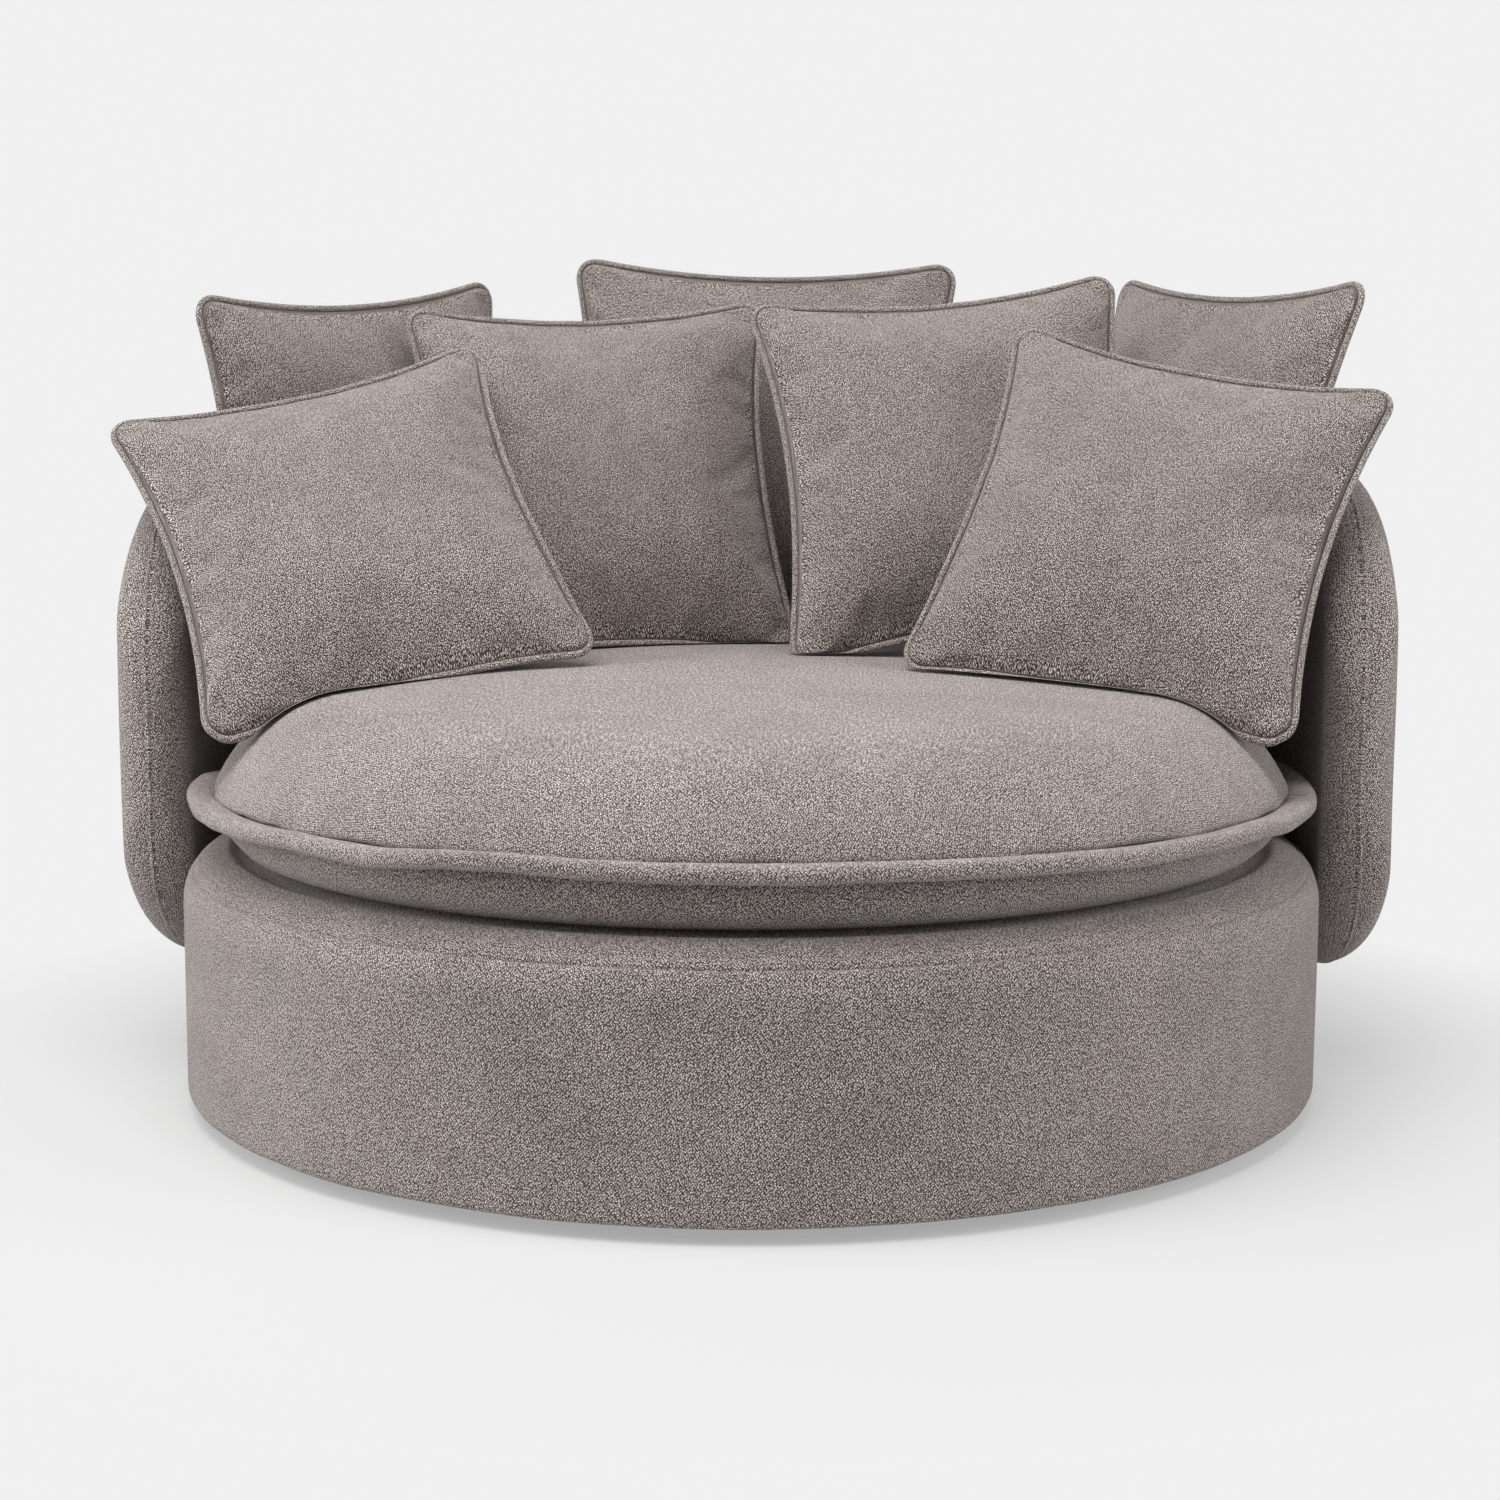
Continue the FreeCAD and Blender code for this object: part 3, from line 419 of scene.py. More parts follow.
@dataclass(frozen=True)
class ChenilleCloth:
    """Pebbled chenille, paler and calmer on surfaces that face up, where its colour holds a painted
    highlight of the light from above.
    """

    name: str
    # The gap and tip colours are partly the yarn's own colour and partly painted light: painted
    # shade in the weave's gaps and a painted highlight on its tips, in place of the shading of its
    # bumps.
    gap: Colour = field(default_factory=lambda: srgb(60, 50, 45))
    ground: Colour = field(default_factory=lambda: srgb(120, 108, 103))
    yarn: Colour = field(default_factory=lambda: srgb(158, 148, 144))
    tip: Colour = field(default_factory=lambda: srgb(234, 228, 224))
    # Pale colour mixed in on surfaces that face up: a painted highlight of the light from above.
    nap: Colour = field(default_factory=lambda: srgb(168, 160, 158))
    steps: tuple[float, float, float, float] = (0.12, 0.36, 0.60, 0.92)
    pitch: float = 480.0
    lift: float = 0.0011
    strength: float = 0.85
    # Upward facing at which the painted highlight starts, and how much of the pale colour it mixes
    # in.
    brushed_from: float = 0.80
    nap_share: float = 0.15
    nap_shade: Pair = (0.88, 1.09)
    roughness: Pair = (0.98, 0.82)

    def build(self, weave: Tree) -> Material:
        """Make the material.

        Args:
            weave: Group with the pebbled weave.

        Returns:
            The chenille material.
        """
        material, sheet, shader = new_material(self.name)
        place = sheet.add("ShaderNodeTexCoord")
        # Surfaces that face up are treated as lit from above; the mask below marks them for the
        # painted highlight.
        facing = sheet.add("ShaderNodeSeparateXYZ", vector=place.outputs["Normal"])
        brushed = sheet.spread(facing.outputs[2], self.brushed_from, 1.0)
        cloth = sheet.add("ShaderNodeGroup", {"node_tree": weave}, vector=place.outputs["UV"],
                          brushed=brushed, pitch=self.pitch)
        # The ramp runs from the gaps' painted shade to the tips' painted highlight, through the
        # yarn's own colours.
        ramp = sheet.add("ShaderNodeValToRGB", fac=cloth.outputs["Speckle"])
        stops = ramp.color_ramp.elements
        stops[0].position, stops[0].color = self.steps[0], self.gap
        stops[1].position, stops[1].color = self.steps[3], self.tip
        for position, colour in zip(self.steps[1:3], (self.ground, self.yarn)):
            stops.new(position).color = colour
        lie = sheet.spread(cloth.outputs["Nap"], 0.0, 1.0, *self.nap_shade)
        shade = sheet.feed_all(sheet.add("ShaderNodeCombineColor"), lie, lie, lie)
        # Painted highlight: the pale colour is mixed in on surfaces that face up.
        woven = sheet.blend(sheet.times(brushed, self.nap_share), ramp.outputs[0], self.nap)
        sheet.feed(shader, "base color", sheet.blend(1.0, woven, shade.outputs[0], "MULTIPLY"))
        sheet.raise_surface(shader, cloth.outputs["Height"], self.lift, self.strength)
        sheet.feed(shader, "roughness",
                   sheet.spread(cloth.outputs["Speckle"], 0.0, 1.0, *self.roughness))
        for name, value in (("Sheen Weight", 0.5), ("Sheen Roughness", 0.4),
                            ("Sheen Tint", srgb(230, 222, 219)), ("Specular IOR Level", 0.2)):
            shader.inputs[name].default_value = value
        return material


@dataclass(frozen=True)
class PlainStuff:
    """Lining or webbing with a fine speckle."""

    name: str
    dark: Colour
    light: Colour
    pitch: float
    lift: float
    roughness: Pair = (0.98, 0.84)

    def build(self, speckle: Tree) -> Material:
        """Make the material.

        Args:
            speckle: Group with the fibre speckle.

        Returns:
            The plain material.
        """
        material, sheet, shader = new_material(self.name)
        stuff = sheet.add("ShaderNodeGroup", {"node_tree": speckle}, vector=sheet.own_place(),
                          pitch=self.pitch)
        share = sheet.spread(stuff.outputs["Speckle"], 0.2, 0.8)
        sheet.feed(shader, "base color", sheet.blend(share, self.dark, self.light))
        sheet.raise_surface(shader, stuff.outputs["Height"], self.lift)
        sheet.feed(shader, "roughness",
                   sheet.spread(stuff.outputs["Speckle"], 0.0, 1.0, *self.roughness))
        shader.inputs["Specular IOR Level"].default_value = 0.25
        return material


@dataclass(frozen=True)
class WoodFinish:
    """Bare wood with grain, pores and dust."""

    name: str
    pale: Colour
    deep: Colour
    dust: Colour = field(default_factory=lambda: srgb(186, 176, 160))
    dust_share: float = 0.25
    pore_depth: float = 0.0004
    roughness: Pair = (0.75, 0.55)

    def build(self, grain: Tree, wear: Tree) -> Material:
        """Make the material.

        Args:
            grain: Group with the wood grain.
            wear: Group with dust and scratches.

        Returns:
            The wood material.
        """
        material, sheet, shader = new_material(self.name)
        place = sheet.own_place()
        wood = sheet.add("ShaderNodeGroup", {"node_tree": grain}, vector=place)
        used = sheet.add("ShaderNodeGroup", {"node_tree": wear}, vector=place)
        colour = sheet.blend(wood.outputs["Grain"], self.deep, self.pale)
        dusty = sheet.times(used.outputs["Dust"], self.dust_share)
        sheet.feed(shader, "base color", sheet.blend(dusty, colour, self.dust))
        sheet.raise_surface(shader, wood.outputs["Pores"], self.pore_depth)
        sheet.feed(shader, "roughness",
                   sheet.spread(wood.outputs["Grain"], 0.0, 1.0, *self.roughness))
        return material


@dataclass(frozen=True)
class HardFinish:
    """Metal or moulded plastic with fine wear."""

    name: str
    colour: Colour
    worn: Colour
    metallic: float
    roughness: float
    worn_share: float = 0.3
    worn_roughness: float = 0.2
    scratch_depth: float = 0.0001

    def build(self, wear: Tree) -> Material:
        """Make the material.

        Args:
            wear: Group with dust and scratches.

        Returns:
            The hard material.
        """
        material, sheet, shader = new_material(self.name)
        used = sheet.add("ShaderNodeGroup", {"node_tree": wear}, vector=sheet.own_place())
        share = sheet.times(used.outputs["Dust"], self.worn_share)
        sheet.feed(shader, "base color", sheet.blend(share, self.colour, self.worn))
        sheet.feed(shader, "roughness",
                   sheet.spread(used.outputs["Scratches"], 0.0, 1.0, self.roughness,
                                min(self.roughness + self.worn_roughness, 1.0)))
        sheet.raise_surface(shader, used.outputs["Scratches"], self.scratch_depth)
        shader.inputs["Metallic"].default_value = self.metallic
        return material


class Palette:
    """All materials of the chair, made once."""

    def __init__(self) -> None:
        """Build the shared groups and every finish."""
        weave, speckle = PebbleWeave().build(), make_fibre_speckle()
        grain, wear = make_grain(), make_wear()
        # In each cloth the nap colour is a painted highlight on surfaces that face up.
        cloths = {
            Finish.CHENILLE: ChenilleCloth("chenille"),
            # The cushion cloth's gap and tip colours are likewise partly painted shade and painted
            # highlight.
            Finish.CUSHION: ChenilleCloth(
                "cushion_chenille", gap=srgb(52, 43, 38), ground=srgb(106, 94, 89),
                yarn=srgb(144, 133, 128), tip=srgb(226, 218, 213), nap=srgb(156, 147, 144),
                pitch=540.0, lift=0.0009),
            Finish.PIPING: ChenilleCloth(
                "piping_cloth", ground=srgb(112, 100, 95), yarn=srgb(150, 140, 135),
                pitch=560.0, lift=0.0008)}
        plain = {
            Finish.DUST_CLOTH: PlainStuff("dust_cloth", srgb(24, 24, 26), srgb(52, 52, 54),
                                          900.0, 0.0003),
            Finish.WEBBING: PlainStuff("webbing", srgb(136, 116, 82), srgb(198, 180, 144),
                                       620.0, 0.0006)}
        woods = {
            Finish.PLYWOOD: WoodFinish("plywood", srgb(206, 176, 134), srgb(168, 134, 92)),
            Finish.TIMBER: WoodFinish("timber", srgb(214, 184, 140), srgb(176, 138, 94))}
        hard = {
            Finish.STEEL: HardFinish("zinc_plated_steel", srgb(196, 198, 200),
                                     srgb(170, 168, 162), 1.0, 0.32),
            Finish.BLACK_STEEL: HardFinish("black_powder_coat", srgb(34, 34, 36),
                                           srgb(70, 68, 66), 0.0, 0.5),
            Finish.NYLON: HardFinish("black_nylon", srgb(30, 30, 31), srgb(76, 74, 70),
                                     0.0, 0.45),
            Finish.ZIP: HardFinish("zip_tape", srgb(126, 116, 112), srgb(150, 142, 138),
                                   0.0, 0.7)}
        self.made: dict[Finish, Material] = {}
        for group, needs in ((cloths, [weave]), (plain, [speckle]), (woods, [grain, wear]),
                             (hard, [wear])):
            for finish, stuff in group.items():
                self.made[finish] = stuff.build(*needs)

    def dress(self, piece: Piece, finish: Finish) -> None:
        """Give a piece one finish all over."""
        piece.data.materials.clear()
        piece.data.materials.append(self.made[finish])


# ---------------------------------------------------------------- meshes


def publish(name: str, mesh: bmesh.types.BMesh, smooth: bool = True) -> Piece:
    """Turn a bmesh into a linked object with outward normals.

    Args:
        name: Name of the object.
        mesh: Finished bmesh, which is freed.
        smooth: Whether its faces are shaded smooth.

    Returns:
        The new object.
    """
    bmesh.ops.recalc_face_normals(mesh, faces=mesh.faces)
    data = bpy.data.meshes.new(name)
    mesh.to_mesh(data)
    mesh.free()
    data.polygons.foreach_set("use_smooth", [smooth] * len(data.polygons))
    made = bpy.data.objects.new(name, data)
    bpy.context.scene.collection.objects.link(made)
    return made


def subdivide(piece: Piece) -> None:
    """Add a Subdivision Surface that looks the same in the view and the render.

    Args:
        piece: Object that is rounded.
    """
    modifier = piece.modifiers.new("subdivision", "SUBSURF")
    modifier.levels = modifier.render_levels = 1
    # The limit surface is slow round a pole where hundreds of faces meet.
    modifier.use_limit_surface = False


def lay_cloth(face: bmesh.types.BMFace, layer: bmesh.types.BMLayerItem,
              places: Sequence[Pair], round_u: float = 0.0, round_v: float = 0.0) -> None:
    """Write a face's place on the flat cloth, unbroken where the cloth closes.

    Args:
        face: Face to lay out.
        layer: Map that holds where each point lies on the flat cloth, in metres.
        places: Place of each of its corners in metres.
        round_u: Length after which the first coordinate starts again.
        round_v: Length after which the second coordinate starts again.
    """
    columns = []
    for number, whole in enumerate((round_u, round_v)):
        values = [place[number] for place in places]
        top = max(values)
        if whole and top - min(values) > whole / 2:
            values = [value + whole if top - value > whole / 2 else value for value in values]
        columns.append(values)
    for loop, across, along in zip(face.loops, *columns):
        loop[layer].uv = (across, along)


def bridge_rings(mesh: bmesh.types.BMesh, rings: Sequence[Sequence[bmesh.types.BMVert]],
                 closed: bool) -> list[list[bmesh.types.BMEdge]]:
    """Join rings of vertices, one after the other, with faces.

    Args:
        mesh: Mesh that holds the rings.
        rings: Rings with equal numbers of vertices.
        closed: Whether the last ring joins the first.

    Returns:
        Edges of each ring.
    """
    loops = [list({edge for vertex in ring for edge in vertex.link_edges}) for ring in rings]
    pairs = list(zip(loops, loops[1:]))
    if closed:
        pairs.append((loops[-1], loops[0]))
    for first, second in pairs:
        bmesh.ops.bridge_loops(mesh, edges=first + second)
    return loops


def by_vertex(mesh: bmesh.types.BMesh, rings: Sequence[Sequence[bmesh.types.BMVert]],
              places: Sequence[Sequence[Pair]]) -> dict[int, Pair]:
    """List where each vertex of some rings lies on the flat cloth.

    Args:
        mesh: Mesh that holds the rings.
        rings: Rings of vertices.
        places: Place on the flat cloth of each vertex of each ring.

    Returns:
        Place by the vertex's number.
    """
    mesh.verts.index_update()
    return {vertex.index: place for ring, row in zip(rings, places)
            for vertex, place in zip(ring, row)}


def closed_roll(name: str, mesh: bmesh.types.BMesh,
                rings: Sequence[Sequence[bmesh.types.BMVert]], lengths: Sequence[float],
                girth: float) -> Piece:
    """Join rings to a closed roll of cloth and publish it.

    Args:
        name: Name of the object.
        mesh: Mesh that holds the rings.
        rings: Rings with equal numbers of vertices.
        lengths: Length of cloth up to each ring, and the whole length.
        girth: Width of cloth round a ring.

    Returns:
        The roll, with its cloth laid along it.
    """
    bridge_rings(mesh, rings, True)
    sides = len(rings[0])
    known = by_vertex(mesh, rings, [[(length, girth * number / sides) for number in range(sides)]
                                    for length in lengths])
    layer = mesh.loops.layers.uv.verify()
    for face in mesh.faces:
        lay_cloth(face, layer, [known[vertex.index] for vertex in face.verts], lengths[-1], girth)
    return publish(name, mesh)


def swept(name: str, path: Sequence[Vector], radius: float, sides: int,
          flat_axis: Vector) -> Piece:
    """Closed round cord along a path, with its cloth laid along it.

    Args:
        name: Name of the object.
        path: Points on its middle line.
        radius: Radius of the cord.
        sides: Points round the section.
        flat_axis: Direction that is square to the whole path.

    Returns:
        Mesh object of the cord.
    """
    mesh = bmesh.new()
    count = len(path)
    rings, lengths = [], [0.0]
    for index, middle in enumerate(path):
        along = (path[(index + 1) % count] - path[index - 1]).normalized()
        outwards = along.cross(flat_axis).normalized()
        ring = bmesh.ops.create_circle(mesh, cap_ends=False, segments=sides, radius=radius)["verts"]
        for number, vertex in enumerate(ring):
            turn = FULL_TURN * number / sides
            vertex.co = (middle + outwards * radius * math.cos(turn)
                         + flat_axis * radius * math.sin(turn))
        rings.append(ring)
        lengths.append(lengths[-1] + (path[(index + 1) % count] - middle).length)
    return closed_roll(name, mesh, rings, lengths, FULL_TURN * radius)


def spin_line(mesh: bmesh.types.BMesh, profile: Sequence[Pair], steps: int) -> None:
    """Turn a line of (radius, level) points once round the vertical axis.

    Args:
        mesh: Mesh that receives the surface.
        profile: Points of the line.
        steps: Steps of the full turn.
    """
    line = [mesh.verts.new((0.0, radius, level)) for radius, level in profile]
    edges = [mesh.edges.new(pair) for pair in zip(line, line[1:])]
    bmesh.ops.spin(mesh, geom=line + edges, cent=(0.0, 0.0, 0.0), axis=(0.0, 0.0, 1.0),
                   angle=FULL_TURN, steps=steps, use_merge=True)
    bmesh.ops.remove_doubles(mesh, verts=mesh.verts, dist=1e-5)


def turned(name: str, profile: Sequence[Pair], steps: int, band: tuple[int, int],
           reach: float) -> Piece:
    """Closed shell turned about the vertical axis, with its cloth laid out.

    Args:
        name: Name of the object.
        profile: (radius, level) points from the upper pole round to the lower one.
        steps: Steps of the full turn.
        band: First and last profile point of the strip of cloth that goes round. The
            rest is cut from flat discs.
        reach: Radius of that strip.

    Returns:
        The turned object.
    """
    mesh = bmesh.new()
    spin_line(mesh, profile, steps)
    lengths = [0.0]
    for first, second in zip(profile, profile[1:]):
        lengths.append(lengths[-1] + math.dist(first, second))
    known: dict[Pair, int] = {}
    layer = mesh.loops.layers.uv.verify()
    for face in mesh.faces:
        corners = []
        for vertex in face.verts:
            place = (round(math.hypot(vertex.co.x, vertex.co.y), 5), round(vertex.co.z, 5))
            if place not in known:
                known[place] = min(range(len(profile)),
                                   key=lambda index: math.dist(profile[index], place))
            corners.append((known[place], turn_of(vertex.co)))
        low, high = min(index for index, _ in corners), max(index for index, _ in corners)
        if band[0] <= low and high <= band[1]:
            lay_cloth(face, layer, [(turn * reach, lengths[index]) for index, turn in corners],
                      FULL_TURN * reach)
            continue
        upper = low < len(profile) / 2
        ways = [(lengths[index] if upper else lengths[-1] - lengths[index], turn)
                for index, turn in corners]
        lay_cloth(face, layer, [(way * math.sin(turn), -way * math.cos(turn))
                                for way, turn in ways])
    return publish(name, mesh)


def turn_of(place: Vector) -> float:
    """Angle of a place round the vertical axis, counted from the front."""
    return math.atan2(place.x, -place.y)


def push_out(place: Vector, scale: float) -> None:
    """Scale a vertex's distance from the vertical axis."""
    place.x *= scale
    place.y *= scale


def ripple(angle: float, waves: float, seed: float) -> float:
    """Unbroken random wave round a circle, of about -1 to 1.

    Args:
        angle: Angle round the circle.
        waves: Rough number of waves in a full turn.
        seed: Picks the pattern.

    Returns:
        Height of the wave.
    """
    reach = waves / FULL_TURN
    place = Vector((math.cos(angle) * reach, math.sin(angle) * reach, seed))
    return noise.noise(place) * 1.6


@dataclass(frozen=True)
class Wave:
    """Unbroken random wave round a circle."""

    height: float
    waves: float
    seed: float

    def at(self, angle: float, shift: float = 0.0) -> float:
        """Height of the wave at an angle, with the pattern moved by a shift."""
        return self.height * ripple(angle, self.waves, self.seed + shift)


@dataclass(frozen=True)
class Mound:
    """Soft mound along a seam, or a groove where its height is below zero."""

    height: float
    middle: float
    width: float

    def at(self, away: float) -> float:
        """Height at a distance from the seam."""
        return self.height * math.exp(-((away - self.middle) / self.width) ** 2)


def arc_points(centre: Pair, radius: float, first: float, last: float,
               steps: int) -> list[Pair]:
    """Points on an arc in the plane of radius and level.

    Args:
        centre: Middle of the arc.
        radius: Radius of the arc.
        first: Angle of the first point in degrees, from outwards towards up.
        last: Angle of the last point in degrees.
        steps: Number of steps between them.

    Returns:
        The points, ends included.
    """
    points = []
    for index in range(steps + 1):
        angle = math.radians(first + (last - first) * index / steps)
        points.append((centre[0] + radius * math.cos(angle),
                       centre[1] + radius * math.sin(angle)))
    return points


# ---------------------------------------------------------------- drum


@dataclass
class DrumBase:
    """Upholstered drum with a rounded shoulder, a stitched shoulder seam and a hem."""

    radius: float = 0.610
    hem: float = 0.015
    hem_width: float = 0.020
    hem_round: float = 0.007
    tuck_round: float = 0.004
    tuck_taper: float = 0.001
    deck: float = 0.272
    deck_dips: tuple[Pair, ...] = (
        (0.0, 0.0005), (0.12, 0.0005), (0.24, 0.0005), (0.36, 0.0005), (0.46, 0.001),
        (0.505, 0.003), (0.530, 0.007), (0.545, 0.0075), (0.554, 0.0045))
    shoulder: float = 0.055
    shoulder_angles: tuple[float, ...] = (84.0, 76.0, 68.0, 60.0)
    below_angles: tuple[float, ...] = (14.0, 7.0, 0.0)
    seam_rise: float = 0.033
    seam_aways: tuple[float, ...] = (18.0, 15.5, 13.8, 12.5, 11.2, 9.5, 7.0, 4.5, 2.6, 1.2, 0.0,
                                     -1.2, -2.6, -4.5, -7.5, -11.0, -16.0, -22.0)
    side_shares: tuple[float, ...] = (0.12, 0.25, 0.38, 0.5, 0.62, 0.74, 0.85, 0.94)
    groove: Mound = Mound(-0.0020, 0.0, 0.0011)
    seam_puff: Mound = Mound(0.0005, 0.0060, 0.0040)
    top_stitch: Mound = Mound(-0.0009, 0.0125, 0.0012)
    smooth_deck: float = 0.3
    dent: Wave = Wave(0.0011, 9.0, 1.3)
    fine_dent: Wave = Wave(0.0005, 44.0, 4.0)
    hem_wave: Wave = Wave(0.0007, 60.0, 21.0)
    hem_fade: float = 3.0
    steps: int = 200

    def seam_form(self, away: float) -> float:
        """Rise of the cloth near the shoulder seam.

        Args:
            away: Distance above the seam along the shoulder.

        Returns:
            Height over the plain shoulder, below zero in a groove.
        """
        return self.groove.at(away) + self.seam_puff.at(abs(away)) + self.top_stitch.at(away)

    def profile(self) -> tuple[list[Pair], int]:
        """Outline of the cover from the middle of the deck down to the hem.

        Returns:
            Points (radius, level) and the number of the one at the seam.
        """
        middle = (self.radius - self.shoulder, self.deck - self.shoulder)
        seam = math.degrees(math.asin(self.seam_rise / self.shoulder))
        millimetre = math.degrees(0.001 / self.shoulder)
        points = [(reach, self.deck - dip) for reach, dip in self.deck_dips]
        aways = [angle - seam for angle in self.shoulder_angles]
        aways += [away * millimetre for away in self.seam_aways]
        aways += [angle - seam for angle in self.below_angles]
        seam_index = len(points) + aways.index(0.0)
        for away in aways:
            angle = math.radians(seam + away)
            reach = self.shoulder + self.seam_form(math.radians(away) * self.shoulder)
            points.append((middle[0] + reach * math.cos(angle),
                           middle[1] + reach * math.sin(angle)))
        hem_top = self.hem + self.hem_round
        points += [(self.radius, middle[1] + (hem_top - middle[1]) * share)
                   for share in self.side_shares]
        points += arc_points((self.radius - self.hem_round, hem_top), self.hem_round, 0.0,
                             -90.0, 5)
        inner = self.radius - self.hem_width
        points += [(inner + self.tuck_round, self.hem), (inner, self.hem + self.tuck_round),
                   (inner - self.tuck_taper, self.hem + self.hem_width)]
        return points, seam_index

    def build(self, palette: Palette) -> list[Piece]:
        """Make the cover and its stitching.

        Args:
            palette: Materials.

        Returns:
            The pieces made.
        """
        points, seam = self.profile()
        cover = turned("drum_cover", points, self.steps, (seam, len(points) - 1), self.radius)
        for vertex in cover.data.vertices:
            reach = math.hypot(vertex.co.x, vertex.co.y)
            if reach < self.smooth_deck:
                continue
            angle = turn_of(vertex.co)
            level = vertex.co.z / self.deck
            push = self.dent.at(angle, level) + self.fine_dent.at(angle, level)
            push_out(vertex.co, 1.0 + push / reach)
            vertex.co.z += self.hem_wave.at(angle) * max(0.0, 1.0 - level * self.hem_fade)
        subdivide(cover)
        palette.dress(cover, Finish.CHENILLE)
        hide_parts("drum_side_cover", "deck_cover", "drum_wrap", "deck_pad")
        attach(cover, "chair")
        return [cover]


@dataclass
class DustCloth:
    """Black cloth stapled under the drum, open in the middle for the swivel."""

    inner: float = 0.165
    outer: float = 0.5865
    level: float = 0.0432
    thickness: float = 0.0007
    sag: float = 0.0022
    fold: Wave = Wave(0.3, 60.0, 31.0)
    steps: int = 112
    rings: int = 14
    staples: int = 56
    staple: tuple[float, float, float] = (0.0012, 0.0105, 0.0009)
    staple_edge: float = 0.0003
    staple_inset: float = 0.010
    staple_drop: float = 0.0008
    staple_slant: Pair = (35.0, 20.0)

    def build(self, palette: Palette) -> list[Piece]:
        """Make the cloth and its staples.

        Args:
            palette: Materials.

        Returns:
            The pieces made.
        """
        mesh = bmesh.new()
        width = self.outer - self.inner
        spin_line(mesh, [(self.inner + width * index / self.rings, self.level)
                         for index in range(self.rings + 1)], self.steps)
        for vertex in mesh.verts:
            share = (math.hypot(vertex.co.x, vertex.co.y) - self.inner) / width
            fall = math.sin(math.pi * min(max(share, 0.0), 1.0))
            vertex.co.z -= self.sag * fall * (1.0 + self.fold.at(turn_of(vertex.co)))
        bmesh.ops.recalc_face_normals(mesh, faces=mesh.faces)
        bmesh.ops.solidify(mesh, geom=list(mesh.faces), thickness=self.thickness)
        cloth = publish("underside_cloth", mesh)
        palette.dress(cloth, Finish.DUST_CLOTH)
        staples = self.build_staples()
        palette.dress(staples, Finish.STEEL)
        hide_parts("dust_cloth")
        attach(cloth, "chair")
        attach(staples, "chair")
        return [cloth, staples]

    def build_staples(self) -> Piece:
        """Make the staples round the rim of the cloth, each at its own slant.

        Returns:
            All staples as one object.
        """
        mesh = bmesh.new()
        seat = Matrix.Translation((self.outer - self.staple_inset, 0.0,
                                   self.level - self.staple_drop))
        for index in range(self.staples):
            angle = FULL_TURN * (index + 0.5) / self.staples
            slant = math.radians(self.staple_slant[0]
                                 + self.staple_slant[1] * math.sin(index * 2.4))
            place = Matrix.Rotation(angle, 4, "Z") @ seat @ Matrix.Rotation(slant, 4, "Z")
            bar = bmesh.ops.create_cube(mesh, size=1.0, matrix=place @ Matrix.Diagonal(
                (*self.staple, 1.0)))["verts"]
            bmesh.ops.bevel(mesh, geom=list({edge for vertex in bar for edge in vertex.link_edges}),
                            offset=self.staple_edge, offset_type="OFFSET", affect="EDGES",
                            segments=1, profile=0.5, material=-1)
        return publish("cloth_staples", mesh)


# ---------------------------------------------------------------- back


